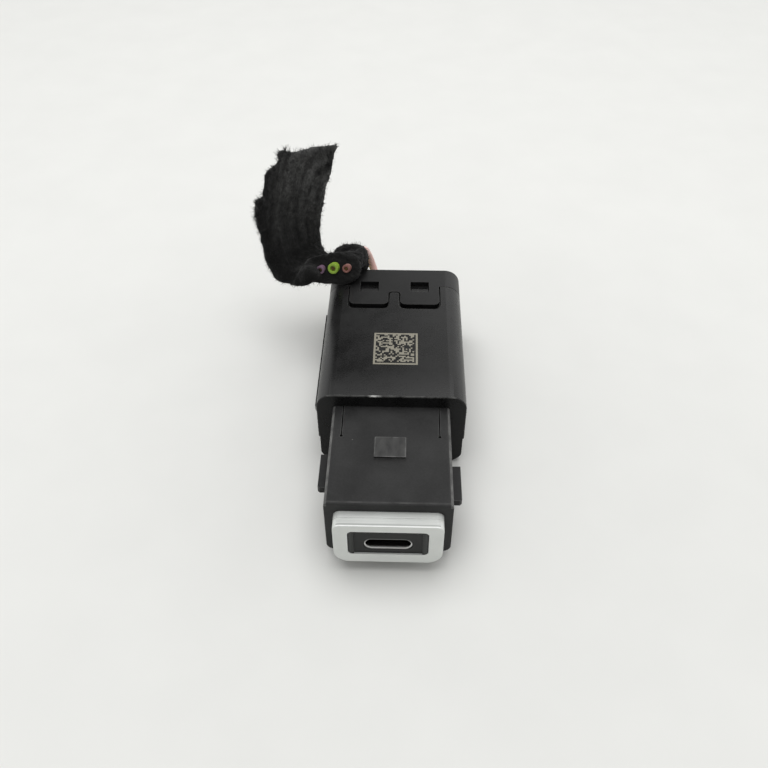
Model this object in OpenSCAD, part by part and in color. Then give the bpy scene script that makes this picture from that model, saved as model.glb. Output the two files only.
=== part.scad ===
// Charging socket module: a USB-C port in a silver frame, a two-part housing with a snap-on rear cover,
// and the cut-off stub of its harness in a fleece wrap.
// X runs to the right, Y from the port to the harness, Z up from the table. All sizes are millimetres.

/* [Rear housing] */
// Width of the rear housing and its cover
body_w = 30; // [27:0.1:36]
// Height of the rear housing and its cover
body_h = 19.2; // [17.5:0.1:24]
// Radius of the long corners
body_r = 3.5; // [3:0.1:4.5]
// Length from the front face to the seam with the cover
sleeve_len = 35.4; // [32:0.1:50]
// Thickness of the wall, spigot and cover tongue together
wall = 2.2; // [2:0.05:2.4]
// Thickness of the front wall that the nose passes through
front_wall = 2; // [1.5:0.1:3]
// Rounding of the outer front and rear edges
edge_r = 0.3; // [0.2:0.05:0.7]
// How far the lower sides are set in
side_inset = 0.3; // [0.1:0.05:0.5]
// Height of the step in the sides
side_step_z = 7.2; // [5:0.1:9]
// How far the key rib on the left side stands out
key_proud = 0.8; // [0.4:0.1:1.5]
// Height of the key rib
key_h = 1.2; // [0.8:0.1:2]
// Height of the key rib's lower edge above the table
key_z = 11; // [9:0.1:13]
// Distance from the front face to the key rib
key_front_gap = 2.5; // [1:0.1:6]
// Distance from the key rib to the seam
key_rear_gap = 2; // [1:0.1:6]
// Length of the spigot inside the cover
spigot_len = 3.4; // [2.5:0.1:4]

/* [Rear cover] */
// Length of the cover behind the seam
cover_len = 6.55; // [6:0.05:10]
// Thickness of the cover's end wall
cover_back = 1.6; // [1.2:0.1:2]
// Thickness of the cover's wall and of its snap tongues
tongue_t = 1; // [0.8:0.05:1.1]
// Width of the flat land outside each snap tongue
tongue_land = 1.45; // [0.5:0.05:2.5]
// Space between the two tongues
tongue_gap = 2.7; // [2.2:0.1:3.4]
// Length of the tongues in front of the seam
tongue_reach = 6.4; // [5:0.1:8]
// Distance from the seam to the end of the space between the tongues
notch_back = 1.9; // [1:0.1:2.5]
// Corner radius at that end
notch_r = 0.9; // [0.5:0.1:1]
// Corner radius at the tips of the tongues
tongue_r = 1.3; // [0.5:0.1:1.5]
// Free space in the recess in front of the tips
tip_room = 1.6; // [0.8:0.1:2]
// Width of the snap windows
window_w = 4.2; // [3:0.1:5]
// Length of the snap windows
window_len = 3.6; // [3:0.1:4]

/* [Front housing] */
// Visible length of the nose
nose_len = 24.1; // [22:0.1:32]
// Length of the nose inside the rear housing
nose_insert = 9; // [8:0.1:12]
// Radius of the nose's upper long edges
nose_rt = 0.8; // [0.4:0.1:1.2]
// Radius of the nose's lower long edges
nose_rb = 1.7; // [1:0.1:2]
// Rounding of the nose's upper front edge
nose_edge = 0.5; // [0.2:0.1:0.8]
// Thickness of the spring panel on top of the nose
panel_t = 1.3; // [1:0.1:1.6]
// Width of the slits
slit_w = 0.2; // [0.15:0.05:0.6]
// Diameter of the round ends of the slits
slit_end_d = 0.6; // [0.5:0.1:1.2]
// Distance from the nose's front face to the slits
slit_y = 16.3; // [15:0.1:18]
// Width of the catch wedge
wedge_w = 6; // [4:0.1:9]
// Length of the catch wedge
wedge_len = 5.5; // [4:0.1:6]
// Height of the catch wedge at its front
wedge_h = 0.5; // [0.3:0.05:0.9]
// Distance from the nose's front face to the catch wedge
wedge_y = 10.7; // [8:0.1:11]
// How far the side bars stand out
bar_proud = 1.85; // [1:0.05:2.2]
// Length of the side bars
bar_len = 8.2; // [5:0.05:9]
// Height of the side bars
bar_h = 1.8; // [1.2:0.1:2.4]
// Height of the side bars' upper edge above the table
bar_top = 11.8; // [10:0.1:13]
// Distance from the nose's front face to the left bar
bar_y_left = 7; // [4:0.1:9]
// Distance from the nose's front face to the right bar
bar_y_right = 4.6; // [4:0.1:9]

/* [Port] */
// Wall of the nose beside the silver frame
bezel_side = 1.65; // [1:0.05:2.2]
// Wall of the nose above the silver frame
bezel_over = 2.1; // [1.5:0.1:2.6]
// Wall of the nose under the silver frame
bezel_under = 0.8; // [0.5:0.1:1.5]
// How far the frame stands out of the nose
bezel_proud = 3.25; // [2.5:0.05:5]
// How far the frame reaches into the nose
bezel_seat = 4; // [3:0.1:5]
// Radius of the frame's upper corners
bezel_rt = 1.4; // [1:0.1:1.8]
// Radius of the frame's lower corners
bezel_rb = 3; // [2:0.1:3.2]
// Rounding of the frame's front edge
bezel_edge = 0.2; // [0.15:0.05:0.5]
// Thickness of the frame's front
bezel_front = 1.8; // [1.4:0.1:2.2]
// Thickness of the frame's rim
bezel_rim = 1.2; // [1:0.1:1.3]
// Face of the frame beside its opening
mouth_side = 2.65; // [2:0.05:3.2]
// Face of the frame above its opening
mouth_over = 1.7; // [1.6:0.1:2.2]
// Face of the frame under its opening
mouth_under = 2.5; // [1.6:0.1:3]
// Corner radius of the opening in the frame
mouth_r = 0.9; // [0.5:0.1:1]
// Height of the port's middle above the frame's lower rim
port_rise = 3.85; // [3.7:0.05:4.2]
// Width of the raised cheeks beside the insert's floor
cheek_w = 1.05; // [0.6:0.05:1.5]
// Depth of the insert's floor behind its cheeks
floor_depth = 0.25; // [0.1:0.05:0.5]
// Thickness of the insert's skin in front of the shell
skin_front = 0.2; // [0.15:0.05:0.4]
// Width of the shell's rim that shows inside that skin
rim_show = 0.2; // [0.05:0.01:0.24]
// Width of the flare round the insert's opening
flare_w = 0.3; // [0.2:0.05:0.5]
// Length of the insert behind the frame's front
insert_len = 3; // [2:0.1:3.6]

/* [Receptacle] */
// Outer width of the receptacle's shell
shell_w = 8.94; // [8.9:0.01:9]
// Outer height of the receptacle's shell
shell_h = 3.16; // [3.14:0.01:3.2]
// Thickness of the shell's sheet
shell_t = 0.3; // [0.25:0.01:0.32]
// Length of the shell
shell_len = 7.5; // [7.2:0.1:9]
// Width of the tongue
tongue_board_w = 6.69; // [6.6:0.01:6.75]
// Thickness of the tongue
tongue_board_t = 0.7; // [0.65:0.01:0.75]
// Distance from the shell's mouth to the tongue's tip
tongue_back = 1.1; // [0.8:0.1:1.4]
// Length of the receptacle's moulded base
base_len = 1.4; // [1:0.1:2]
// Spacing of the contacts
contact_pitch = 0.5; // [0.5:0.01:0.51]
// Width of a contact strip
contact_w = 0.25; // [0.2:0.01:0.3]
// Thickness of a contact strip
contact_t = 0.1; // [0.06:0.01:0.12]

/* [Circuit board] */
// Thickness of the board
board_t = 1.2; // [0.8:0.1:1.6]
// Free space between the board's long edges and the side walls
board_side = 1.1; // [0.8:0.1:1.3]
// How far the guide rails stand in from the side walls
rail_in = 1.5; // [1.3:0.1:2]
// Height of the guide rails
rail_h = 3.6; // [3:0.1:4.4]

/* [Harness plug] */
// Width of the plug
plug_w = 10.2; // [9.4:0.1:11]
// Height of the plug
plug_h = 6.2; // [5.6:0.1:6.6]
// Free space between the plug's socket and the left side wall
socket_side = 0.1; // [0.1:0.1:12]
// Height of the plug's middle above the middle of the housing
plug_rise = -0.1; // [-0.6:0.1:0.4]
// Depth of the socket from the cover's rear face
socket_depth = 9; // [8.5:0.1:10]
// Thickness of the socket's walls and floor
socket_wall = 1; // [0.8:0.1:1.1]
// Length of the plug behind the cover
plug_out = 3.2; // [2:0.1:6]
// Length of the retainer at the plug's rear
retainer_len = 1.6; // [1:0.1:2]
// Spacing of the wires in the plug
wire_pitch = 3; // [2.8:0.1:3.2]
// Diameter of the red wire
red_d = 1.9; // [1.6:0.1:2]
// Diameter of the green wire
green_d = 2.5; // [2:0.1:2.6]
// Diameter of the violet wire
violet_d = 1.9; // [1.6:0.1:2]
// Width of the latch arm on the plug
latch_w = 3.4; // [2.6:0.1:4]
// Thickness of the latch arm
latch_t = 0.8; // [0.6:0.1:0.9]
// Width of the header pins
pin_w = 0.64; // [0.6:0.01:0.66]

/* [Fits] */
// Clearance between the cover and the spigot, tongues and recesses
snap_gap = 0.1; // [0.05:0.01:0.15]
// Width of the seam between the cover and the rear housing
seam_gap = 0.16; // [0.05:0.01:0.2]
// Clearance round the tongues inside their recesses
recess_gap = 0.3; // [0.15:0.05:0.35]
// Clearance between the nose and the rear housing
nose_gap = 0.1; // [0.05:0.01:0.2]
// Free space beside the nose inside the rear housing
nose_side = 1.15; // [0.6:0.05:2]
// Free space above the nose inside the rear housing
nose_room = 0.8; // [0.5:0.05:1.5]
// Clearance between the frame, the nose and the insert
trim_gap = 0.05; // [0.03:0.01:0.1]
// Clearance between the shell and the insert
shell_gap = 0.08; // [0.04:0.01:0.12]
// Clearance of the board in its guide rails
board_gap = 0.1; // [0.05:0.01:0.15]
// Clearance of the plug in its socket
plug_gap = 0.1; // [0.05:0.01:0.15]
// Clearance of contacts, pins and terminals in their slots
pin_gap = 0.03; // [0.02:0.01:0.05]
// Clearance of the wires in the plug
wire_gap = 0.1; // [0.08:0.01:0.15]
// Clearance of the wires in the fleece
fleece_gap = 0.05; // [0.03:0.01:0.08]

/* [Hidden] */
$fn = 48;
// Overrun of every cut past the face that it leaves
over = 1;
// Overlap of joined bodies
lap = 0.4;

// Places along the module, from the frame's face to the cover's rear face
total_len = bezel_proud + nose_len + sleeve_len + cover_len;
y_bezel = -total_len / 2;
y_nose = y_bezel + bezel_proud;
y_sleeve = y_nose + nose_len;
y_seam = y_sleeve + sleeve_len;
y_back = y_seam + cover_len;
y_nose_end = y_sleeve + nose_insert;
z_mid = body_h / 2;

// Spigot and cavity of the rear housing
skin = tongue_t + snap_gap;
spigot_w = body_w - 2 * skin;
spigot_h = body_h - 2 * skin;
cavity_w = body_w - 2 * wall;
cavity_h = body_h - 2 * wall;

// Nose, a fit in that cavity, and the space inside the nose
nose_w = cavity_w - 2 * nose_side;
nose_h = cavity_h - nose_gap - nose_room;
nose_z = wall + nose_gap;
nose_top = nose_z + nose_h;
catch_room = 0.2;
catch_h = z_mid + cavity_h / 2 - nose_top - catch_room;
catch_len = 2;

// Tongue recess: its outer half width and its front edge
tongue_half = body_w / 2 - body_r - tongue_land;
tongue_w = tongue_half - tongue_gap / 2;
window_pitch = tongue_gap + tongue_w;
hook_w = window_w - 2 * recess_gap;
hook_room = 0.9;
hook_len = window_len - hook_room;

// Frame let into the nose, its opening and the port inside that
bezel_w = nose_w - 2 * bezel_side;
bezel_h = nose_h - bezel_over - bezel_under;
bezel_z = nose_z + bezel_under;
mouth_w = bezel_w - 2 * mouth_side;
mouth_h = bezel_h - mouth_over - mouth_under;
mouth_z = bezel_z + mouth_under + mouth_h / 2;
pocket_rb = bezel_rb - bezel_rim;
port_z = bezel_z + bezel_rim + port_rise;
bezel_stop = 0.6;
inner_w = bezel_w + 2 * trim_gap - 2 * bezel_stop;
inner_z = bezel_z + bezel_stop;
slit_pitch = inner_w;
insert_depth = 0.1;
y_insert = y_bezel + insert_depth;
y_insert_back = y_bezel + bezel_front + trim_gap + insert_len;
y_shell = y_insert + floor_depth + skin_front + shell_gap;
y_shell_back = y_shell + shell_len;
y_base = y_shell_back - base_len;
y_tip = y_shell + tongue_back;
plate_t = 0.15;
plate_back = 0.5;
contacts = 12;
contact_tip = 0.9;
contact_feet = [1.2, 0.5];
shell_leg = [0.7, 0.3];
shell_leg_drop = 1.9;
leg_room = 0.75;
leg_pitch = 1.3;

// Board and the places of the parts beside its edges
board_w = cavity_w - 2 * board_side;
board_room = 0.2;
solder_gap = 0.05;
board_top = port_z - shell_h / 2 - solder_gap;
board_z = board_top - board_t;
// The front of the board clears the lower corners of the space in the frame
corner_drop = max(pocket_rb - (board_z - bezel_z - bezel_rim), 0);
corner_in = pocket_rb - sqrt(pocket_rb * pocket_rb - corner_drop * corner_drop);
board_front_w = bezel_w - 2 * (bezel_rim + corner_in + board_room);
y_board = y_insert_back + board_room;
y_socket = y_back - socket_depth - socket_wall;
socket_room = 0.4;
rail_room = 0.1;
board_step = 0.6;
rail_short = 1;
y_board_end = y_socket - socket_room;
y_rail = y_nose_end + rail_room;
y_board_step = y_rail + board_step;
y_rail_end = y_board_end - rail_short;
tail_hole = 1;
part_edge = 0.4;
part_gap = 0.5;
function beside_rail(w) = cavity_w / 2 - rail_in - part_edge - w / 2;
function beside_edge(w) = board_front_w / 2 - part_edge - w / 2;

// Plug and its socket
socket_w = plug_w + 2 * plug_gap;
plug_x = socket_side + socket_wall + socket_w / 2 - cavity_w / 2;
plug_z = z_mid + plug_rise;
socket_h = plug_h + 2 * plug_gap;
latch_rise = 0.5;
latch_room = 0.4;
latch_channel_h = latch_rise + latch_t + latch_room;
latch_channel_w = latch_w + 2 * latch_room;
y_plug = y_back - socket_depth + plug_gap;
y_plug_back = y_back + plug_out;
y_retainer = y_plug_back - retainer_len;
terminal_w = 1.7;
terminal_box = 4.4;
terminal_crimp = 1.95;
terminal_depth = 0.4;
crimp_d = 1.5;
y_terminal = y_plug + terminal_depth;
y_wire = y_terminal + terminal_box + terminal_crimp;
pin_reach = 4;
pin_inset = 1.2;
y_pin_bend = y_board_end - pin_inset;
pin_drop = 1;
wire_x = [for (i = [1, 0, -1]) plug_x + i * wire_pitch];
wire_d = [red_d, green_d, violet_d];

// Upper left corner of the cover's rear face, from which the wires and the fleece take their places
hang = [-body_w / 2, y_back, body_h];

// Bends of the three wires, from the plug round behind the cover and forward to their cut ends
red_bends = [[11.2, 5.4, -9.6], [10.4, 7.7, -8.6], [9.5, 9.1, -6.4], [8.7, 9.3, -3.8], [8, 8.3, -1.2],
    [7.4, 6.3, 0.9], [6.8, 3.7, 1.9], [5.9, 0.9, 2.2], [4.8, -2.1, 2.4], [3.9, -4.8, 3.4]];
green_bends = [[8.2, 5.5, -9.6], [7.5, 7.8, -8.7], [6.7, 9.2, -6.5], [6, 9.4, -3.8], [5.3, 8.4, -1.2],
    [4.8, 6.3, 0.8], [4.1, 3.7, 1.9], [3.1, 0.9, 2.2], [1.8, -2.1, 2.4], [0.9, -4.8, 3.4]];
violet_bends = [[5.3, 5.4, -9.6], [4.7, 7.6, -8.6], [4.1, 9, -6.4], [3.4, 9.2, -4], [2.8, 8.2, -1.8],
    [2.3, 6.2, -0.2], [1.6, 3.7, 1], [0.4, 0.9, 1.7], [-1, -2.1, 2.2], [-2, -4.9, 3]];
wire_steps = 2;
wire_sides = 10;

// Fleece wrapped round the wires. Each of its sections has y, middle x and z, half width, half height,
// how far it leans back for each millimetre of height and how far its top rises towards the right.
wrap_skin = [[-4.3, 0.6, 2.8, 6.5, 2.7, 1, 0.5], [-3, 0.9, 2.7, 6.6, 2.6, 0.8, 0.6],
    [-1.3, 1.7, 2.6, 6.3, 2.5, 0.5, 0.6], [0.7, 2.8, 2.4, 5.5, 2.3, 0.2, 0.7],
    [2.1, 3.8, 2.2, 4.7, 2.6, 0.1, 0.7], [3.7, 4.6, 2.2, 3.7, 2.6, 0, 0.3]];
wrap_sides = 20;
// Loose tail of the fleece, from the wrap to its cut end: outer edge, inner edge and half thickness
tail_edges = [[[-3.8, -7.1, 0.8], [-0.5, 1.9, 2.8], 0.6], [[-5.4, -7.3, 0.4], [-1.9, 3.1, 3.6], 0.9],
    [[-7, -6.9, -0.1], [-2.4, 3.9, 4], 1.2], [[-9, -6.2, -0.3], [-2.7, 4.5, 4.5], 1.3],
    [[-11.4, -4.9, -0.3], [-2.7, 4.9, 5], 1.4], [[-13.4, -3.5, 1.2], [-2.6, 5.3, 5.8], 1.4],
    [[-14.8, -2.1, 3.6], [-2.6, 5.5, 7], 1.4], [[-15.8, -0.1, 7.6], [-2.4, 5.7, 9], 1.4],
    [[-16.2, 1.5, 11.4], [-2, 5.9, 11.8], 1.4], [[-15.2, 2.9, 15.4], [-1, 5.9, 15.6], 1.4],
    [[-14.6, 3.9, 19], [0, 5.9, 19], 1.3], [[-13.6, 4.9, 22], [1, 6.1, 22.2], 1.2],
    [[-11, 5.5, 24.4], [1.8, 6.3, 25.6], 1.1], [[-8, 5.9, 26], [2.6, 6.5, 28.4], 0.9]];
tail_steps = 2;
tail_sides = 12;

// Rectangle on its base line with two upper and two lower corner radii
module base_rect(w, h, rt, rb) {
    translate([-w / 2, rb]) square([w, h - rb - rt]);
    translate([-w / 2 + rb, 0]) square([w - 2 * rb, rb + lap]);
    translate([-w / 2 + rt, h - rt - lap]) square([w - 2 * rt, rt + lap]);
    for (s = [-1, 1]) {
        translate([s * (w / 2 - rb), rb]) circle(rb);
        translate([s * (w / 2 - rt), h - rt]) circle(rt);
    }
}

// The same, centred, with four like corners
module mid_rect(w, h, r) {
    translate([0, -h / 2]) base_rect(w, h, r, r);
}

// Extrudes a profile drawn in X and Z along Y
module along_y(y0, y1) {
    translate([0, y1, 0]) rotate([90, 0, 0]) linear_extrude(y1 - y0) children();
}

// Extrudes a profile drawn in Y and Z across X
module across_x(x0, x1) {
    translate([x0, 0, 0]) rotate([90, 0, 90]) linear_extrude(x1 - x0) children();
}

// Half section of a bar of length len: its outer face at r, its end face at 0 and the edge e between them
module round_end(r, len, e) {
    translate([0, e]) square([r, len - e]);
    square([r - e, len]);
    translate([r - e, e]) circle(e);
}

// Bar along Y on the profile base_rect, with a round edge e at y0; turn = -1 rounds the end at y1 instead
module soft_bar(w, h, rt, rb, e, y0, y1, turn = 1) {
    len = y1 - y0;
    translate([0, turn > 0 ? y0 : y1, 0]) mirror([0, turn > 0 ? 0 : 1, 0])
        for (side = [0, 1]) mirror([side, 0, 0]) {
            translate([0, 0, rb]) linear_extrude(h - rb - rt) round_end(w / 2, len, e);
            translate([0, 0, h - rt]) soft_bar_rim(w, rt, len, e);
            translate([0, 0, rb]) mirror([0, 0, 1]) soft_bar_rim(w, rb, len, e);
        }
}

// Upper right part of such a bar: a flat stretch and a quarter turn of radius r
module soft_bar_rim(w, r, len, e) {
    across_x(0, w / 2 - r) mirror([1, -1]) round_end(r, len, e);
    translate([w / 2 - r, 0, 0]) rotate([-90, 0, 0]) mirror([0, 1, 0])
        rotate_extrude(angle = 90) round_end(r, len, e);
}

// Slabs that set the lower sides in
module side_cuts() {
    for (s = [-1, 1])
        translate([s * (body_w / 2 - side_inset + over / 2), 0, side_step_z / 2 - over / 2])
            cube([over, total_len + 2 * over, side_step_z + over], center = true);
}

// Copies a top feature to the underside
module top_and_bottom() {
    children();
    translate([0, 0, body_h]) mirror([0, 0, 1]) children();
}

// Plan of the cover's two tongues, from their tips to behind the seam; grow adds the recess's clearance
module tongue_plan(grow, room) {
    front = y_seam - tongue_reach - room;
    half = tongue_half + grow;
    gap = tongue_gap / 2 - grow;
    r = tongue_r + grow;
    notch = y_seam - notch_back - grow;
    difference() {
        union() {
            translate([-half, front + r]) square([2 * half, y_seam + lap - front - r]);
            for (s = [-1, 1]) {
                translate([s * (half + gap) / 2 - (half - gap) / 2 + r, front])
                    square([half - gap - 2 * r, r + lap]);
                for (x = [gap + r, half - r])
                    translate([s * x, front + r]) circle(r);
            }
        }
        translate([0, front - over]) base_rect(2 * gap, notch - front + over, notch_r - grow, 0);
    }
}

module rear_housing() {
    color([0.22, 0.22, 0.22]) {
        difference() {
            union() {
                soft_bar(body_w, body_h, body_r, body_r, edge_r, y_sleeve, y_seam);
                along_y(y_seam - lap, y_seam + spigot_len) translate([0, z_mid])
                    mid_rect(spigot_w, spigot_h, body_r - skin);
                key_rib();
            }
            side_cuts();
            along_y(y_sleeve + front_wall, y_seam + spigot_len + over) translate([0, z_mid])
                mid_rect(cavity_w, cavity_h, body_r - wall);
            along_y(y_sleeve - over, y_sleeve + front_wall + over) translate([0, nose_z - nose_gap])
                base_rect(nose_w + 2 * nose_gap, nose_h + 2 * nose_gap, nose_rt, nose_rb);
            top_and_bottom() translate([0, 0, body_h - skin]) linear_extrude(skin + over)
                tongue_plan(recess_gap, tip_room);
        }
        top_and_bottom() snap_hooks();
        guide_rails();
    }
}

// Rib with a slanted lead that keys the housing in its bracket
module key_rib() {
    y0 = y_sleeve + key_front_gap;
    y1 = y_seam - key_rear_gap;
    x0 = -body_w / 2;
    translate([0, 0, key_z]) linear_extrude(key_h)
        polygon([[x0 + lap, y0], [x0, y0], [x0 - key_proud, y0 + 2 * key_proud], [x0 - key_proud, y1],
            [x0 + lap, y1]]);
}

// Ramped hooks on the spigot that stand in the cover's windows
module snap_hooks() {
    y0 = y_seam - window_len / 2 + snap_gap;
    for (s = [-1, 1])
        across_x(s * window_pitch / 2 - hook_w / 2, s * window_pitch / 2 + hook_w / 2)
            polygon([[y0, body_h - skin - lap], [y0, body_h - snap_gap],
                [y0 + hook_len / 3, body_h - snap_gap], [y0 + hook_len, body_h - skin],
                [y0 + hook_len, body_h - skin - lap]]);
}

// Grooved rails that hold the board's long edges and stop the nose
module guide_rails() {
    groove_z = board_z - board_gap;
    groove_h = board_t + 2 * board_gap;
    for (s = [-1, 1])
        difference() {
            translate([s * (cavity_w / 2 + lap - (rail_in + lap) / 2), (y_rail + y_rail_end) / 2,
                board_z + board_t / 2])
                cube([rail_in + lap, y_rail_end - y_rail, rail_h], center = true);
            translate([-board_w / 2 - board_gap, y_rail - over, groove_z])
                cube([board_w + 2 * board_gap, y_rail_end - y_rail + 2 * over, groove_h]);
        }
}

module rear_cover() {
    color([0.21, 0.21, 0.21]) {
        difference() {
            union() {
                soft_bar(body_w, body_h, body_r, body_r, edge_r, y_seam + seam_gap, y_back, -1);
                top_and_bottom() translate([0, 0, body_h - tongue_t]) linear_extrude(tongue_t)
                    tongue_plan(0, 0);
            }
            side_cuts();
            along_y(y_seam - over, y_back - cover_back) translate([0, z_mid])
                mid_rect(spigot_w + 2 * snap_gap, spigot_h + 2 * snap_gap, body_r - tongue_t);
            top_and_bottom() snap_windows();
            socket_space(y_back - cover_back - over, y_back + over);
        }
        plug_socket();
    }
}

module snap_windows() {
    for (s = [-1, 1])
        translate([s * window_pitch / 2 - window_w / 2, y_seam - window_len / 2, body_h - skin - lap])
            cube([window_w, window_len, skin + lap + over]);
}

// Space for the plug and, above it, for its latch arm
module socket_space(y0, y1) {
    translate([plug_x - socket_w / 2, y0, plug_z - socket_h / 2]) cube([socket_w, y1 - y0, socket_h]);
    translate([plug_x - latch_channel_w / 2, y0, plug_z])
        cube([latch_channel_w, y1 - y0, socket_h / 2 + latch_channel_h]);
}

// Walled socket that runs forward from the cover's end wall
module plug_socket() {
    y1 = y_back - cover_back + lap;
    difference() {
        union() {
            translate([plug_x - socket_w / 2 - socket_wall, y_socket, plug_z - socket_h / 2 - socket_wall])
                cube([socket_w + 2 * socket_wall, y1 - y_socket, socket_h + 2 * socket_wall]);
            translate([plug_x - latch_channel_w / 2 - socket_wall, y_socket, plug_z])
                cube([latch_channel_w + 2 * socket_wall, y1 - y_socket,
                    socket_h / 2 + latch_channel_h + socket_wall]);
        }
        socket_space(y_socket + socket_wall, y1 + over);
        for (x = wire_x)
            translate([x, y_socket + socket_wall / 2, plug_z])
                cube([pin_w + 2 * pin_gap, socket_wall + 2 * over, pin_w + 2 * pin_gap], center = true);
    }
}

module front_housing() {
    color([0.23, 0.23, 0.23]) {
        difference() {
            along_y(y_nose, y_nose_end) translate([0, nose_z]) base_rect(nose_w, nose_h, nose_rt, nose_rb);
            nose_front_round();
            along_y(y_nose - over, y_nose + bezel_seat + trim_gap) translate([0, bezel_z - trim_gap])
                base_rect(bezel_w + 2 * trim_gap, bezel_h + 2 * trim_gap, bezel_rt, bezel_rb);
            along_y(y_nose + bezel_seat, y_nose_end + over) translate([0, inner_z])
                base_rect(inner_w, nose_top - panel_t - inner_z, bezel_rt, bezel_rt);
            for (s = [-1, 1]) {
                translate([s * slit_pitch / 2 - slit_w / 2, y_nose + slit_y, nose_top - panel_t - over])
                    cube([slit_w, y_nose_end + over - y_nose - slit_y, panel_t + 2 * over]);
                translate([s * slit_pitch / 2, y_nose + slit_y, nose_top - panel_t - over])
                    cylinder(d = slit_end_d, h = panel_t + 2 * over);
            }
        }
        catch_wedge();
        panel_catch();
        side_bar(-1, bar_y_left);
        side_bar(1, bar_y_right);
    }
}

// Cuts the upper front edge round
module nose_front_round() {
    difference() {
        translate([-nose_w / 2 - over, y_nose - over, nose_top - nose_edge])
            cube([nose_w + 2 * over, nose_edge + over, nose_edge + over]);
        translate([0, y_nose + nose_edge, nose_top - nose_edge]) rotate([0, 90, 0])
            cylinder(r = nose_edge, h = nose_w + 4 * over, center = true);
    }
}

// Wedge that is highest at its front and runs out to the rear
module catch_wedge() {
    y0 = y_nose + wedge_y;
    across_x(-wedge_w / 2, wedge_w / 2)
        polygon([[y0, nose_top - lap], [y0, nose_top + wedge_h], [y0 + wedge_len, nose_top],
            [y0 + wedge_len, nose_top - lap]]);
}

// Ridge on the spring panel that snaps in behind the front wall of the rear housing
module panel_catch() {
    half = slit_pitch / 2 - slit_w - catch_room;
    y0 = y_sleeve + front_wall + nose_gap;
    across_x(-half, half)
        polygon([[y0, nose_top - lap], [y0, nose_top + catch_h], [y0 + catch_len / 2, nose_top + catch_h],
            [y0 + catch_len, nose_top], [y0 + catch_len, nose_top - lap]]);
}

// Bar on one side of the nose with a slanted lead at its front and a slim foot
module side_bar(side, y) {
    y0 = y_nose + y;
    foot = bar_h / 5;
    x0 = nose_w / 2 - lap;
    x1 = nose_w / 2 + bar_proud;
    mirror([side < 0 ? 1 : 0, 0, 0]) {
        translate([0, 0, bar_top - bar_h + foot]) linear_extrude(bar_h - foot)
            polygon([[x0, y0], [x1 - foot, y0], [x1, y0 + foot], [x1, y0 + bar_len], [x0, y0 + bar_len]]);
        translate([x0, y0 + foot, bar_top - bar_h])
            cube([x1 - foot - x0, bar_len - foot, foot + lap]);
    }
}

module bezel_frame() {
    pocket_w = bezel_w - 2 * bezel_rim;
    pocket_h = bezel_h - 2 * bezel_rim;
    color([0.82, 0.83, 0.82])
        difference() {
            translate([0, 0, bezel_z])
                soft_bar(bezel_w, bezel_h, bezel_rt, bezel_rb, bezel_edge, y_bezel, y_nose + bezel_seat);
            along_y(y_bezel - over, y_bezel + bezel_front + over) translate([0, mouth_z])
                mid_rect(mouth_w, mouth_h, mouth_r);
            along_y(y_bezel + bezel_front, y_nose + bezel_seat + over) translate([0, bezel_z + bezel_rim])
                base_rect(pocket_w, pocket_h, mouth_r, pocket_rb);
            bezel_groove();
        }
}

// Fine line round the frame between its face and the nose
module bezel_groove() {
    depth = 0.1;
    width = 0.2;
    share = 0.4;
    y0 = y_nose - share * bezel_proud;
    along_y(y0 - width, y0) difference() {
        translate([0, bezel_z - over]) base_rect(bezel_w + 2 * over, bezel_h + 2 * over, bezel_rt, bezel_rb);
        translate([0, bezel_z + depth])
            base_rect(bezel_w - 2 * depth, bezel_h - 2 * depth, bezel_rt - depth, bezel_rb - depth);
    }
}

module port_insert() {
    flange_w = bezel_w - 2 * bezel_rim - 2 * trim_gap;
    flange_h = bezel_h - 2 * bezel_rim - 2 * trim_gap;
    y_flange = y_bezel + bezel_front + trim_gap;
    floor_w = mouth_w - 2 * trim_gap - 2 * cheek_w;
    lip = 0.5;
    color([0.2, 0.21, 0.21])
        difference() {
            union() {
                along_y(y_insert, y_flange + lap) translate([0, mouth_z])
                    mid_rect(mouth_w - 2 * trim_gap, mouth_h - 2 * trim_gap, mouth_r - trim_gap);
                along_y(y_flange, y_insert_back) translate([0, bezel_z + bezel_rim + trim_gap])
                    base_rect(flange_w, flange_h, mouth_r - trim_gap, pocket_rb);
            }
            translate([-floor_w / 2, y_insert - over, mouth_z - mouth_h])
                cube([floor_w, over + floor_depth, 1.5 * mouth_h - lip]);
            along_y(y_insert - over, y_insert_back + over) translate([0, port_z])
                shell_oval(shell_t - rim_show);
            along_y(y_shell - shell_gap, y_insert_back + over) translate([0, port_z])
                shell_oval(-shell_gap);
            opening_flare();
        }
}

// Flare of the insert's opening, from the floor of its recess down to the shell's rim
module opening_flare() {
    half = shell_w / 2 - shell_h / 2;
    r = shell_h / 2 - shell_t + rim_show;
    y0 = y_insert + floor_depth - skin_front;
    y1 = y0 + 3 * skin_front;
    translate([0, 0, port_z]) {
        across_x(-half, half)
            polygon([[y0, -r - 2 * flare_w], [y1, -r + flare_w], [y1, r - flare_w], [y0, r + 2 * flare_w]]);
        for (s = [-1, 1])
            translate([s * half, y0, 0]) rotate([-90, 0, 0])
                cylinder(r1 = r + 2 * flare_w, r2 = r - flare_w, h = 3 * skin_front);
    }
}

// Oval of the receptacle's shell, set in by t
module shell_oval(t) {
    r = shell_h / 2 - t;
    half = shell_w / 2 - shell_h / 2;
    translate([-half, -r]) square([2 * half, 2 * r]);
    for (s = [-1, 1])
        translate([s * half, 0]) circle(r);
}

// Places of the four board legs of the shell
function leg_places() = [for (s = [-1, 1], i = [0, 1])
    [s * (shell_w - shell_leg[1]) / 2, y_insert_back + leg_room + shell_leg[0] / 2 + i * leg_pitch]];

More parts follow.
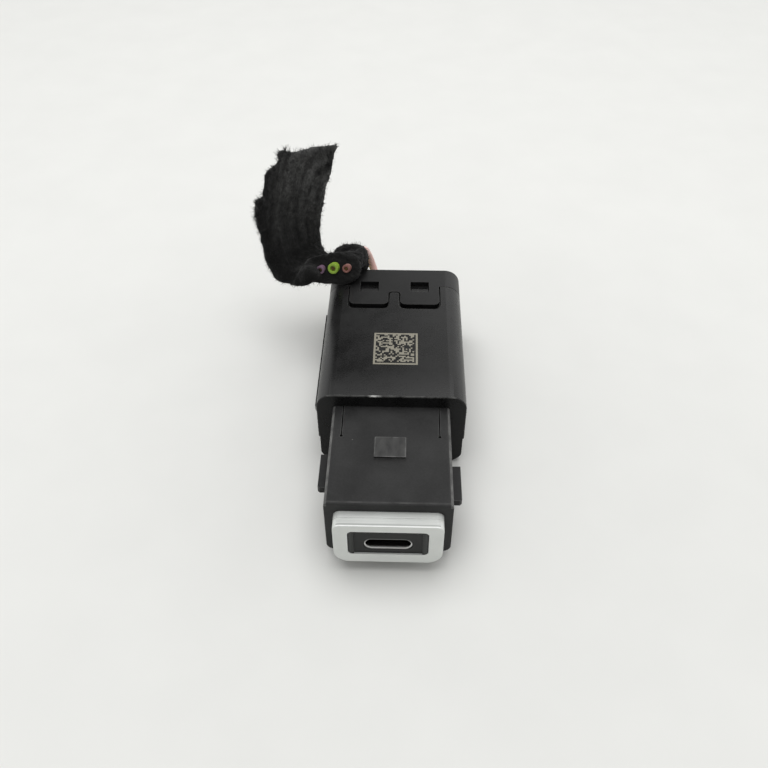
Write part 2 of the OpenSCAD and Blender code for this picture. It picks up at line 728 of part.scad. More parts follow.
module usb_shell() {
    color([0.78, 0.78, 0.77]) {
        along_y(y_shell, y_shell_back) translate([0, port_z]) difference() {
            shell_oval(0);
            shell_oval(shell_t);
        }
        for (p = leg_places())
            translate([p[0] - shell_leg[1] / 2, p[1] - shell_leg[0] / 2, board_top - shell_leg_drop])
                cube([shell_leg[1], shell_leg[0], port_z - board_top + shell_leg_drop]);
    }
}

// Slots or strips of one row of contacts; grow adds clearance, up = 1 is the upper row
module contact_row(up, grow) {
    z0 = port_z + up * tongue_board_t / 2;
    for (i = [0:contacts - 1])
        translate([(i - (contacts - 1) / 2) * contact_pitch, 0, 0]) {
            translate([-contact_w / 2 - grow, y_tip + contact_tip - grow,
                up > 0 ? z0 - contact_t - grow : z0])
                cube([contact_w + 2 * grow, y_shell_back - y_tip + contact_foot(up), contact_t + grow]);
            children();
        }
}

// How far a row of contacts reaches behind the shell before it turns down
function contact_foot(up) = up > 0 ? contact_feet[0] : contact_feet[1];

module usb_tongue() {
    color([0.05, 0.05, 0.05])
        difference() {
            union() {
                translate([-tongue_board_w / 2, y_tip, port_z - tongue_board_t / 2])
                    cube([tongue_board_w, y_base + lap - y_tip, tongue_board_t]);
                along_y(y_base, y_shell_back) translate([0, port_z]) shell_oval(shell_t + pin_gap);
            }
            translate([-tongue_board_w / 2 - over, y_tip + plate_back, port_z - plate_t / 2 - pin_gap])
                cube([tongue_board_w + 2 * over, y_base - y_tip - plate_back, plate_t + 2 * pin_gap]);
            contact_row(1, pin_gap);
            contact_row(-1, pin_gap);
        }
}

module tongue_plate() {
    color([0.7, 0.7, 0.7])
        translate([-tongue_board_w / 2, y_tip + plate_back + pin_gap, port_z - plate_t / 2])
            cube([tongue_board_w, y_base - y_tip - plate_back - 2 * pin_gap, plate_t]);
}

module usb_contacts() {
    color([0.85, 0.7, 0.35])
        for (up = [1, -1])
            contact_row(up, 0)
                translate([-contact_w / 2, y_shell_back + contact_foot(up) + contact_tip - contact_t,
                    board_top])
                    cube([contact_w, contact_t, port_z + up * tongue_board_t / 2 - board_top
                        + (up > 0 ? 0 : contact_t)]);
}

module circuit_board() {
    color([0.1, 0.32, 0.2])
        difference() {
            union() {
                translate([-board_front_w / 2, y_board, board_z])
                    cube([board_front_w, y_board_step + lap - y_board, board_t]);
                translate([-board_w / 2, y_board_step, board_z])
                    cube([board_w, y_board_end - y_board_step, board_t]);
            }
            for (p = leg_places())
                translate([p[0] - shell_leg[1] / 2 - pin_gap, p[1] - shell_leg[0] / 2 - pin_gap,
                    board_z - over])
                    cube([shell_leg[1] + 2 * pin_gap, shell_leg[0] + 2 * pin_gap, board_t + 2 * over]);
            for (x = wire_x)
                translate([x, y_pin_bend, board_z - over])
                    cylinder(d = tail_hole, h = board_t + 2 * over);
        }
}

// Puts a part on the board: x from the middle, y behind the nose's rear end
module on_board(x, y) {
    translate([x, y_nose_end + y, board_top]) children();
}

module power_inductor() {
    size = 7;
    cut = 1.2;
    height = 4;
    dish_d = 4.9;
    dish = 0.3;
    place_y = 5.4;
    color([0.3, 0.3, 0.32]) on_board(beside_rail(size), place_y) difference() {
        linear_extrude(height)
            polygon([for (a = [0:3], c = [[size / 2, size / 2 - cut], [size / 2 - cut, size / 2]])
                [c[0] * cos(90 * a) - c[1] * sin(90 * a), c[0] * sin(90 * a) + c[1] * cos(90 * a)]]);
        translate([0, 0, height - dish]) cylinder(d = dish_d, h = over);
    }
}

// Can with a bead near its foot on a base with two cut corners
module bulk_capacitors() {
    can_d = 6.3;
    can_h = 5.8;
    base = 6.6;
    base_h = 0.9;
    cut = 1.3;
    bead = 0.3;
    bead_z = 1.9;
    place_y = 5.4;
    for (i = [0, 1])
        color([0.75, 0.76, 0.78]) on_board(-beside_rail(base), place_y + i * (base + part_gap)) {
            linear_extrude(base_h)
                polygon([[-base / 2, -base / 2], [base / 2, -base / 2], [base / 2, base / 2 - cut],
                    [base / 2 - cut, base / 2], [-base / 2 + cut, base / 2], [-base / 2, base / 2 - cut]]);
            rotate_extrude()
                polygon([[0, base_h - lap], [can_d / 2, base_h - lap], [can_d / 2, bead_z - bead],
                    [can_d / 2 - bead, bead_z], [can_d / 2, bead_z + bead], [can_d / 2, can_h - bead],
                    [can_d / 2 - bead, can_h], [0, can_h]]);
        }
}

// Block that stands on the middle of its underside
module block(size) {
    translate([-size[0] / 2, -size[1] / 2, 0]) cube(size);
}

// Flat chip with a dimple beside its first pad
module chip(size) {
    dimple_d = 0.6;
    dimple = 0.1;
    inset = 0.8;
    difference() {
        block(size);
        translate([-size[0] / 2 + inset, size[1] / 2 - inset, size[2] - dimple])
            cylinder(d = dimple_d, h = over);
    }
}

module charge_controller() {
    size = [5, 5, 0.9];
    place_y = -15;
    color([0.08, 0.08, 0.08]) on_board(-beside_edge(size[0]), place_y) chip(size);
}

module buck_converter() {
    size = [4, 5, 0.9];
    place_y = -14;
    color([0.08, 0.08, 0.08]) on_board(beside_edge(size[0]), place_y) chip(size);
}

module power_transistors() {
    size = [5, 6, 1.1];
    place_y = -9;
    for (i = [0, 1])
        color([0.09, 0.09, 0.09])
            on_board(-beside_edge(size[0]), place_y + i * (size[1] + part_gap)) chip(size);
}

// Drum core with its winding on end
module input_choke() {
    size = 6;
    drum = 5;
    flange = 0.9;
    height = 3.5;
    place_y = -4.5;
    color([0.24, 0.22, 0.2]) on_board(beside_edge(size), place_y) {
        block([size, size, flange]);
        cylinder(d = drum, h = height);
        translate([0, 0, height - flange]) cylinder(d = size, h = flange);
    }
}

// Moulded body with two folded end strips
module clamp_diode() {
    size = [3.6, 4.3, 2];
    strip = [2, 5.2, 1];
    lift = 0.2;
    place_y = 12.4;
    color([0.1, 0.1, 0.1]) on_board(beside_rail(size[0]), place_y) {
        translate([0, 0, lift]) block(size);
        block(strip);
    }
}

module ceramic_capacitors() {
    size = [1.6, 2.4, 1.25];
    place_y = 3.4;
    for (i = [-0.5, 0.5], j = [0:3])
        color([0.62, 0.5, 0.36])
            on_board(i * (size[0] + part_gap), place_y + j * (size[1] + part_gap)) block(size);
}

module chip_resistors() {
    size = [0.8, 1.6, 0.45];
    place_y = -19.2;
    for (i = [-2:2])
        color([0.12, 0.12, 0.13]) on_board(i * (size[0] + 2 * part_gap), place_y) block(size);
}

module header_pins() {
    y1 = y_terminal + pin_reach;
    for (x = wire_x)
        color([0.8, 0.79, 0.74]) {
            translate([x - pin_w / 2, y_pin_bend - pin_w / 2, plug_z - pin_w / 2])
                cube([pin_w, y1 - y_pin_bend, pin_w]);
            translate([x - pin_w / 2, y_pin_bend - pin_w / 2, board_z - pin_drop])
                cube([pin_w, pin_w, plug_z + pin_w / 2 - board_z + pin_drop]);
        }
}

module plug_housing() {
    lead = 0.6;
    z0 = plug_z - plug_h / 2;
    z1 = plug_z + plug_h / 2;
    color([0.1, 0.1, 0.11]) {
        difference() {
            translate([plug_x - plug_w / 2, y_plug, z0]) cube([plug_w, y_retainer - y_plug, plug_h]);
            for (x = wire_x)
                translate([x - terminal_w / 2 - wire_gap, y_plug - over, plug_z - terminal_w / 2 - wire_gap])
                    cube([terminal_w + 2 * wire_gap, y_wire + over - y_plug, terminal_w + 2 * wire_gap]);
            wire_bores(y_wire - lap, y_retainer + over);
        }
        // Latch arm on a root at the plug's front
        across_x(plug_x - latch_w / 2, plug_x + latch_w / 2)
            polygon([[y_plug, z1 - lap], [y_plug, z1], [y_plug + lead, z1 + latch_rise + latch_t],
                [y_retainer, z1 + latch_rise + latch_t], [y_retainer, z1 + latch_rise],
                [y_plug + 2 * lead, z1 + latch_rise], [y_plug + 2 * lead, z1 - lap]]);
    }
}

// Bores for the wires, each at its own diameter
module wire_bores(y0, y1) {
    for (i = [0:2])
        translate([wire_x[i], y0, plug_z]) rotate([-90, 0, 0])
            cylinder(d = wire_d[i] + 2 * wire_gap, h = y1 - y0);
}

module plug_lock() {
    color([0.62, 0.6, 0.55])
        difference() {
            translate([plug_x - plug_w / 2, y_retainer, plug_z - plug_h / 2])
                cube([plug_w, retainer_len, plug_h]);
            wire_bores(y_retainer - over, y_plug_back + over);
        }
}

module plug_terminals() {
    for (x = wire_x)
        color([0.8, 0.78, 0.7]) difference() {
            union() {
                translate([x - terminal_w / 2, y_terminal, plug_z - terminal_w / 2])
                    cube([terminal_w, terminal_box, terminal_w]);
                translate([x, y_terminal + terminal_box - lap, plug_z]) rotate([-90, 0, 0])
                    cylinder(d = crimp_d, h = terminal_crimp + lap);
            }
            translate([x, y_terminal + pin_reach / 2, plug_z])
                cube([pin_w + 2 * pin_gap, pin_reach + 2 * wire_gap, pin_w + 2 * pin_gap], center = true);
        }
}

function unit(v) = v / norm(v);
function direction(p, i) = unit(p[min(i + 1, len(p) - 1)] - p[max(i - 1, 0)]);

// Ring of a round tube at point i of its route
function tube_ring(p, i, r, sides) =
    let (t = direction(p, i), u = unit([1, 0, 0] - t[0] * t), v = cross(t, u))
    [for (k = [0:sides - 1]) p[i] + r * (cos(360 * k / sides) * u + sin(360 * k / sides) * v)];

// Closed skin over a row of like rings
module skin_over(rings) {
    n = len(rings[0]);
    last = len(rings) - 1;
    polyhedron(
        points = [for (ring = rings) each ring],
        faces = [
            [for (k = [0:n - 1]) k],
            [for (k = [0:n - 1]) last * n + n - 1 - k],
            for (i = [0:last - 1], k = [0:n - 1]) each [
                [i * n + k, (i + 1) * n + k, (i + 1) * n + (k + 1) % n],
                [i * n + k, (i + 1) * n + (k + 1) % n, i * n + (k + 1) % n]]]);
}

module tube(route, d) {
    skin_over([for (i = [0:len(route) - 1]) tube_ring(route, i, d / 2, wire_sides)]);
}

// Point at share t between the values p[i] and p[i + 1] on a smooth curve through the row
function curve(p, i, t) =
    let (a = p[max(i - 1, 0)], b = p[i], c = p[i + 1], d = p[min(i + 2, len(p) - 1)])
    b + t * (c - a) / 2 + t * t * (a - 2.5 * b + 2 * c - d / 2) + t * t * t * (1.5 * (b - c) + (d - a) / 2);

// All points of the smooth curve, with the given steps from point to point
function smooth(p, steps) = [
    for (i = [0:len(p) - 2], k = [0:steps - 1]) curve(p, i, k / steps),
    p[len(p) - 1]];

// Route of wire i: straight out of its terminal and the plug, then smoothly through its bends
function route(i, bends) = concat(
    [[wire_x[i], y_wire, plug_z]],
    smooth(concat([[wire_x[i], y_plug_back, plug_z]], [for (p = bends) hang + p]), wire_steps));
wire_routes = [route(0, red_bends), route(1, green_bends), route(2, violet_bends)];

module wire_red() {
    color([0.62, 0.12, 0.12]) tube(wire_routes[0], red_d);
}

module wire_green() {
    color([0.6, 0.66, 0.2]) tube(wire_routes[1], green_d);
}

module wire_violet() {
    color([0.45, 0.34, 0.52]) tube(wire_routes[2], violet_d);
}

// Ways of the wires through the fleece, past their cut ends
module wire_ways() {
    for (i = [0:2]) {
        last = len(wire_routes[i]) - 1;
        beyond = wire_routes[i][last] + over * direction(wire_routes[i], last);
        tube(concat(wire_routes[i], [beyond]), wire_d[i] + 2 * fleece_gap);
    }
}

// Squarish ovals: the powers of the wrap and the tail push their sections out towards the corners
wrap_power = 0.9;
tail_power = 0.7;
function push(v, power) = sign(v) * pow(abs(v), power);

// Point k of a squarish oval with both half axes 1
function oval(k, sides, power) = [push(cos(360 * k / sides), power), push(sin(360 * k / sides), power)];

// Ring of the wrap's skin at section s
function wrap_ring(s) = [for (k = [0:wrap_sides - 1])
    let (o = oval(k, wrap_sides, wrap_power), rise = s[4] * o[1] + s[6] * o[0] * max(o[1], 0))
    [s[1] + s[3] * o[0], s[0] + s[5] * rise, s[2] + rise]];

// Fleece wound round the wires, from its rear section to its front one
module wound_fleece() {
    last = len(wrap_skin) - 1;
    skin_over([for (i = [0:last]) wrap_ring(wrap_skin[last - i])]);
}

// Flat band of fleece between two edge curves, thickest in its middle
module loose_fleece() {
    n = tail_sides;
    outer = smooth([for (e = tail_edges) e[0]], tail_steps);
    inner = smooth([for (e = tail_edges) e[1]], tail_steps);
    half = smooth([for (e = tail_edges) e[2]], tail_steps);
    middle = [for (i = [0:len(outer) - 1]) (outer[i] + inner[i]) / 2];
    skin_over([for (i = [0:len(outer) - 1])
        let (w = (inner[i] - outer[i]) / 2, up = unit(cross(direction(middle, i), w)))
        [for (k = [0:n - 1]) let (o = oval(k, n, tail_power)) middle[i] + o[0] * w + o[1] * half[i] * up]]);
}

module fleece_tape() {
    color([0.1, 0.1, 0.1])
        difference() {
            translate(hang) {
                wound_fleece();
                loose_fleece();
            }
            wire_ways();
        }
}

rear_housing();
rear_cover();
front_housing();
bezel_frame();
port_insert();
usb_shell();
usb_tongue();
tongue_plate();
usb_contacts();
circuit_board();
power_inductor();
bulk_capacitors();
charge_controller();
buck_converter();
power_transistors();
input_choke();
clamp_diode();
ceramic_capacitors();
chip_resistors();
header_pins();
plug_housing();
plug_lock();
plug_terminals();
wire_red();
wire_green();
wire_violet();
fleece_tape();
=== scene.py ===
import math
import random

import bmesh
import bpy
from mathutils import Matrix, Vector, kdtree


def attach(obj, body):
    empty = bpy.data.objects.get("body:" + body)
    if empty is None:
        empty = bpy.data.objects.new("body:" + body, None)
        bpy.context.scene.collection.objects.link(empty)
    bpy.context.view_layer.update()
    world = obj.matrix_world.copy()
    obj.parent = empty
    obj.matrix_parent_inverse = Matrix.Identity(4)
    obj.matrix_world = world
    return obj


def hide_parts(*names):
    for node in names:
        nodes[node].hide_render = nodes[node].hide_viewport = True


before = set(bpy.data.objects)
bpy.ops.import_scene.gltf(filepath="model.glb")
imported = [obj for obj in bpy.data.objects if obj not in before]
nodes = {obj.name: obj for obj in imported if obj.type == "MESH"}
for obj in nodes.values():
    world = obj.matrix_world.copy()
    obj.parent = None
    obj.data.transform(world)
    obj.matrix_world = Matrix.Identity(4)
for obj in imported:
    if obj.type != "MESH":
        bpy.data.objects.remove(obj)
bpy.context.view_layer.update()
mm = 0.001


# Camera: it looks down on the port's end from a hand's span away. Its place and its three angles come
# from the housing's straight edges in the photograph; the frame is taken as 768 pixels square.
camera_place = Vector((2.039, -118.081, 130.001)) * mm
pitch = math.radians(44.107)
yaw = math.radians(-1.796)
roll = math.radians(-0.305)
ahead = Vector((math.sin(yaw) * math.cos(pitch), math.cos(yaw) * math.cos(pitch), -math.sin(pitch)))
sideways = Vector((math.cos(yaw), -math.sin(yaw), 0))
above = sideways.cross(ahead)
right = math.cos(roll) * sideways + math.sin(roll) * above
up = math.cos(roll) * above - math.sin(roll) * sideways
bpy.ops.object.select_all(action="DESELECT")
bpy.ops.object.camera_add(location=camera_place)
camera = bpy.context.object
camera.name = "camera"
camera.rotation_euler = Matrix((right, up, -ahead)).transposed().to_euler()
camera.data.lens = 37.5
camera.data.sensor_width = 36
camera.data.clip_start = 0.002
bpy.context.scene.camera = camera


# Table: a plain matt top with a painted shadow beside the object, fading into the white room far from it.
# It isn't part of the object. Shader nodes are put into a tree with their inputs as plain values or as
# the sockets that feed them.
def put(tree, kind, inputs=None, **settings):
    node = tree.nodes.new("ShaderNode" + kind)
    for key, value in settings.items():
        setattr(node, key, value)
    for key, value in (inputs or {}).items():
        if isinstance(value, bpy.types.NodeSocket):
            tree.links.new(value, node.inputs[key])
        else:
            node.inputs[key].default_value = value
    return node


def new_finish(name, **plain):
    finish = bpy.data.materials.new(name)
    finish.use_nodes = True
    shader = finish.node_tree.nodes["Principled BSDF"]
    for key, value in plain.items():
        shader.inputs[key.replace("_", " ")].default_value = value
    return finish, finish.node_tree, shader


def object_place(tree):
    return put(tree, "TexCoord").outputs["Object"]


def noise(tree, place, scale, detail, **more):
    return put(tree, "TexNoise", {"Vector": place, "Scale": scale, "Detail": detail, **more}).outputs["Fac"]


def maths(tree, operation, *values, clamp=False):
    return put(tree, "Math", dict(enumerate(values)), operation=operation, use_clamp=clamp).outputs[0]


def ranged(tree, value, low, high, to_low=0.0, to_high=1.0):
    """The value's way from low to high, as a number from to_low to to_high."""
    limits = {"From Min": low, "From Max": high, "To Min": to_low, "To Max": to_high}
    return put(tree, "MapRange", {"Value": value, **limits}).outputs[0]


def graded(tree, share, *stops):
    """A colour that runs through the stops, each a position and a tone."""
    node = put(tree, "ValToRGB", {"Fac": share})
    ramp = node.color_ramp.elements
    for end, (position, tone) in zip((ramp[0], ramp[1]), (stops[0], stops[-1])):
        end.position = position
        end.color = tone
    for position, tone in stops[1:-1]:
        ramp.new(position).color = tone
    return node.outputs["Color"]


table_tone = (0.77, 0.773, 0.752, 1)
mottle_tone = [0.975 * c for c in table_tone[:3]] + [1]
painted_shadow_middle = (0.005, -0.015, 0)
painted_shadow_reach = (0.04, 0.12)
painted_shadow_level = 0.94
fade_reach = (0.4, 1.1)
room_white = (1, 1, 0.99, 1)
bpy.ops.mesh.primitive_plane_add(size=6)
table = bpy.context.object
table.name = "table"
table_finish, tree, shader = new_finish("table_top", Roughness=0.85, Specular_IOR_Level=0.1)
place = object_place(tree)
mottled = graded(tree, noise(tree, place, 60, 6), (0.3, mottle_tone), (0.7, table_tone))
# Painted shadow: the table's tone is darkened round a spot beside the object.
apart = put(tree, "VectorMath", {0: place, 1: painted_shadow_middle}, operation="DISTANCE").outputs["Value"]
painted_shadow = ranged(tree, apart, *painted_shadow_reach, painted_shadow_level, 1.0)
shadow_painted = put(tree, "VectorMath", {0: mottled, "Scale": painted_shadow}, operation="SCALE").outputs[0]
tree.links.new(shadow_painted, shader.inputs["Base Color"])
# Only the eye sees the far fade: the table's light on the object stays the same.
seen_far = maths(
    tree, "MULTIPLY", ranged(tree, apart, *fade_reach), put(tree, "LightPath").outputs["Is Camera Ray"])
white = put(tree, "Emission", {"Color": room_white, "Strength": 1.0}).outputs[0]
table_top = put(tree, "MixShader", {"Fac": seen_far, 1: shader.outputs[0], 2: white}).outputs[0]
tree.links.new(table_top, tree.nodes["Material Output"].inputs["Surface"])
table.data.materials.append(table_finish)


# Light: a wide soft lamp above and behind, a weaker one to the right, and a white room that fills the
# shadows. Reflections don't show the lamps: they see the room graded from side to side, darkest just
# left of the middle and brightest just right of it, and dimmer overhead.
def grey(level):
    return (level, level, level, 1)


lamps = (
    ("lamp_above", (-0.04, 0.1, 0.82), 0.75, 5.45),
    ("lamp_right", (0.7, 0.1, 0.45), 0.4, 0.4),
)
for name, place, size, power in lamps:
    bpy.ops.object.light_add(type="AREA", location=place)
    lamp = bpy.context.object
    lamp.name = name
    lamp.data.size = size
    lamp.data.energy = power
    lamp.visible_glossy = False
    lamp.rotation_euler = (-Vector(place)).to_track_quat("-Z", "Y").to_euler()
room_fill = 0.5
side_levels = (
    (0.0, 0.95), (0.25, 0.9), (0.4, 0.1), (0.462, 0.0), (0.56, 1.6), (0.62, 1.1), (0.8, 0.85), (1.0, 1.2))
overhead_level = 0.65
level_ahead = 1.1
room = bpy.data.worlds.new("room")
bpy.context.scene.world = room
room.use_nodes = True
tree = room.node_tree
ray = put(tree, "LightPath").outputs
heading = put(tree, "SeparateXYZ", {"Vector": put(tree, "TexCoord").outputs["Generated"]}).outputs
across = ranged(tree, heading["X"], -1, 1)
mirrored = graded(tree, across, *[(position, grey(level)) for position, level in side_levels])
mirrored = maths(
    tree, "MULTIPLY", mirrored, ranged(tree, heading["Z"], 0.8, 0.5, overhead_level, level_ahead))
unseen = put(tree, "Mix", {"Factor": ray["Is Glossy Ray"], "A": room_fill, "B": mirrored}).outputs[0]
seen = maths(tree, "MAXIMUM", ray["Is Camera Ray"], ray["Is Transmission Ray"])
strength = put(tree, "Mix", {"Factor": seen, "A": unseen, "B": 1.0}).outputs[0]
tree.nodes["Background"].inputs["Color"].default_value = room_white
tree.links.new(strength, tree.nodes["Background"].inputs["Strength"])
bpy.context.scene.view_settings.view_transform = "Standard"


# Wires: three stranded copper wires with extruded insulation, crimped in the harness plug. They bend
# up behind the cover, come forward over it inside the fleece and were cut off square.
def smooth_through(points, steps):
    row = [Vector(p) for p in points]
    out = []
    for i in range(len(row) - 1):
        a, b, c, d = row[max(i - 1, 0)], row[i], row[i + 1], row[min(i + 2, len(row) - 1)]
        bend = a - 2.5 * b + 2 * c - d / 2
        twist = 1.5 * (b - c) + (d - a) / 2
        for k in range(steps):
            t = k / steps
            out.append(b + t * (c - a) / 2 + t * t * bend + t**3 * twist)
    return out + [row[-1]]


def link_to_scene(name, data):
    piece = bpy.data.objects.new(name, data)
    bpy.context.scene.collection.objects.link(piece)
    return piece


def apply_modifier(piece, kind, **settings):
    modifier = piece.modifiers.new(kind.lower(), kind)
    for key, value in settings.items():
        setattr(modifier, key, value)
    bpy.context.view_layer.objects.active = piece
    bpy.ops.object.modifier_apply(modifier=modifier.name)


def mix(tree, share, low, high):
    return put(tree, "Mix", {"Factor": share, "A": low, "B": high}, data_type="RGBA").outputs["Result"]


def bumped(tree, shader, height, strength, distance, **under):
    bump = put(tree, "Bump", {"Height": height, "Strength": strength, "Distance": distance, **under})
    tree.links.new(bump.outputs[0], shader.inputs["Normal"])


def insulation(name, tone, haze_tone, end_tone):
    finish, tree, shader = new_finish(name, Specular_IOR_Level=0.4)
    place = object_place(tree)
    haze = noise(tree, place, 900, 5)
    tones = mix(tree, haze, tone, haze_tone)
    # The last few millimetres, at the cut ends, are darker.
    full_tone_y = 33 * mm
    darkest_end_y = 30.5 * mm
    back = put(tree, "SeparateXYZ", {"Vector": place}).outputs["Y"]
    tones = mix(tree, ranged(tree, back, full_tone_y, darkest_end_y), tones, end_tone)
    tree.links.new(tones, shader.inputs["Base Color"])
    tree.links.new(ranged(tree, haze, 0, 1, 0.3, 0.55), shader.inputs["Roughness"])
    bumped(tree, shader, haze, 0.25, 0.05 * mm)
    return finish


copper_finish, tree, shader = new_finish("cut_copper", Metallic=1.0, Roughness=0.4)
tarnish = noise(tree, object_place(tree), 2500, 4)
copper = graded(tree, tarnish, (0, (0.03, 0.02, 0.01, 1)), (1, (0.16, 0.11, 0.04, 1)))
tree.links.new(copper, shader.inputs["Base Color"])

# Name, thickness, insulation's tone, its hazy tone and its darker end's tone, and the route.
wires = (
    ("red", 1.9, (0.76, 0.41, 0.37, 1), (0.93, 0.68, 0.63, 1), (0.2, 0.085, 0.07, 1), (
        (-3.5, 32.5, 9.5), (-3.5, 37.8, 9.5), (-3.8, 40.1, 9.6), (-4.6, 42.4, 10.6),
        (-5.5, 43.8, 12.8), (-6.3, 44, 15.4), (-7, 43, 18), (-7.6, 41, 20.1),
        (-8.2, 38.4, 21.1), (-9.1, 35.6, 21.4), (-10.2, 32.6, 21.6), (-11.1, 29.9, 22.6))),
    ("green", 2.5, (0.34, 0.53, 0.03, 1), (0.46, 0.66, 0.1, 1), (0.21, 0.335, 0.033, 1), (
        (-6.5, 32.5, 9.5), (-6.5, 37.8, 9.5), (-6.8, 40.2, 9.6), (-7.5, 42.5, 10.5),
        (-8.3, 43.9, 12.7), (-9, 44.1, 15.4), (-9.7, 43.1, 18), (-10.2, 41, 20),
        (-10.9, 38.4, 21.1), (-11.9, 35.6, 21.4), (-13.2, 32.6, 21.6), (-14.1, 29.9, 22.6))),
    ("violet", 1.9, (0.18, 0.085, 0.165, 1), (0.27, 0.14, 0.25, 1), (0.15, 0.09, 0.135, 1), (
        (-9.5, 32.5, 9.5), (-9.5, 37.8, 9.5), (-9.7, 40.1, 9.6), (-10.3, 42.3, 10.6),
        (-10.9, 43.7, 12.8), (-11.6, 43.9, 15.2), (-12.2, 42.9, 17.4), (-12.7, 40.9, 19),
        (-13.4, 38.4, 20.2), (-14.6, 35.6, 20.9), (-16, 32.6, 21.4), (-17, 29.8, 22.2))),
)
cup_long = 0.6 * mm
cup_lap = 0.2 * cup_long
cup_deep = 0.75 * cup_long
cup_rounding = 0.15 * mm
strand_long = 0.5 * cup_long
strand_middle = -0.62 * cup_long
for name, thickness, tone, haze_tone, end_tone, route in wires:
    thick = thickness * mm
    cup_wall = 0.26 * thick
    line = [p * mm for p in smooth_through(route, 3)]
    out_of = (line[-1] - line[-2]).normalized()
    to_end = Matrix.Translation(line[-1]) @ out_of.to_track_quat("Z", "Y").to_matrix().to_4x4()
    line[-1] = line[-1] - (cup_long - cup_lap) * out_of
    data = bpy.data.curves.new("wire_" + name + "_cord", "CURVE")
    data.dimensions = "3D"
    data.bevel_depth = thick / 2
    data.bevel_resolution = 5
    data.use_fill_caps = True
    spline = data.splines.new("POLY")
    spline.points.add(len(line) - 1)
    for point, p in zip(spline.points, line):
        point.co = (*p, 1)
    spline.use_smooth = True
    wire = link_to_scene("wire_" + name + "_cord", data)
    insulated = insulation("insulation_" + name, tone, haze_tone, end_tone)
    data.materials.append(insulated)
    # The last bit of insulation, drawn back from the copper by the cutter's blades: a cup on the end.
    bpy.ops.object.select_all(action="DESELECT")
    bpy.ops.mesh.primitive_cylinder_add(
        vertices=28, radius=thick / 2, depth=cup_long, location=(0, 0, -cup_long / 2))
    bpy.ops.object.transform_apply()
    cup = bpy.context.object
    cup.name = "wire_" + name + "_cut"
    bpy.context.tool_settings.mesh_select_mode = (False, False, True)
    for face in cup.data.polygons:
        face.select = face.normal.z > 0.9
    bpy.ops.object.mode_set(mode="EDIT")
    bpy.ops.mesh.inset(thickness=cup_wall)
    bpy.ops.mesh.extrude_region_move(TRANSFORM_OT_translate={"value": (0, 0, -cup_deep)})
    bpy.ops.object.mode_set(mode="OBJECT")
    apply_modifier(cup, "BEVEL", width=cup_rounding, segments=3, limit_method="ANGLE")
    cup.data.transform(to_end)
    cup.data.materials.append(insulated)
    bpy.ops.object.shade_smooth_by_angle(angle=0.7)
    # The cut copper in the cup: six strands round one.
    strand = 0.062 * thick
    pitch_circle = 2.02 * strand
    bits = []
    for k in range(7):
        turn = k * math.pi / 3
        reach = 0 if k == 0 else pitch_circle
        bpy.ops.object.select_all(action="DESELECT")
        bpy.ops.mesh.primitive_cylinder_add(
            vertices=10, radius=strand, depth=strand_long,
            location=(reach * math.cos(turn), reach * math.sin(turn), strand_middle))
        bpy.ops.object.transform_apply()
        bits.append(bpy.context.object)
    for bit in bits:
        bit.select_set(True)
    bpy.ops.object.join()
    strands = bpy.context.object
    strands.name = "wire_" + name + "_strands"
    strands.data.transform(to_end)
    strands.data.materials.append(copper_finish)
    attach(wire, "root")
    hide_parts("wire_" + name)
    for piece in (cup, strands):
        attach(piece, "root")


# Rear housing: one injection moulding in black plastic with a fine eroded grain, open at the back for
# the cover. A laser burns the square field into its top: cells drawn by lot inside a pale frame.
def new_group(name, takes, gives):
    group = bpy.data.node_groups.new(name, "ShaderNodeTree")
    for socket, value in takes.items():
        taken = group.interface.new_socket(socket, in_out="INPUT", socket_type="NodeSocketFloat")
        taken.default_value = value
    for socket in gives:
        group.interface.new_socket(socket, in_out="OUTPUT", socket_type="NodeSocketFloat")
    return group, group.nodes.new("NodeGroupInput"), group.nodes.new("NodeGroupOutput")


def use(tree, group, **values):
    node = tree.nodes.new("ShaderNodeGroup")
    node.node_tree = group
    for key, value in values.items():
        node.inputs[key].default_value = value
    return node.outputs


def times(tree, a, b):
    return maths(tree, "MULTIPLY", a, b)


# Rubbed edges: where a small bevel turns the surface away from its face, the black is worn paler and painted
# with a highlight.
edge_wear_highlight, takes, gives = new_group("edge_wear_highlight", {"Width": 0.2 * mm}, ["Mask"])
softened = put(edge_wear_highlight, "Bevel", {"Radius": takes.outputs["Width"]}, samples=6).outputs[0]
face_normal = put(edge_wear_highlight, "NewGeometry").outputs["Normal"]
alike = put(edge_wear_highlight, "VectorMath", {0: softened, 1: face_normal}, operation="DOT_PRODUCT").outputs["Value"]
patchy = ranged(edge_wear_highlight, noise(edge_wear_highlight, object_place(edge_wear_highlight), 420, 5), 0.3, 0.7, 0.25)
wear_highlight_mask = times(edge_wear_highlight, ranged(edge_wear_highlight, alike, 0.995, 0.8), patchy)
edge_wear_highlight.links.new(wear_highlight_mask, gives.inputs["Mask"])

# Eroded grain: the fine even tooth of a spark-eroded mould, with soft stains and flecks over it.
mould_grain, takes, gives = new_group("mould_grain", {"Grain": 9000.0}, ["Height", "Stain"])
place = object_place(mould_grain)
tooth = noise(mould_grain, place, takes.outputs["Grain"], 3, Roughness=0.7)
mould_grain.links.new(tooth, gives.inputs["Height"])
stain = noise(mould_grain, place, 130, 6, Roughness=0.65)
fleck_share = 0.45
flecked = maths(mould_grain, "MULTIPLY_ADD", noise(mould_grain, place, 2600, 2), fleck_share, stain)
flecked = maths(mould_grain, "SUBTRACT", flecked, fleck_share / 2)
mould_grain.links.new(flecked, gives.inputs["Stain"])

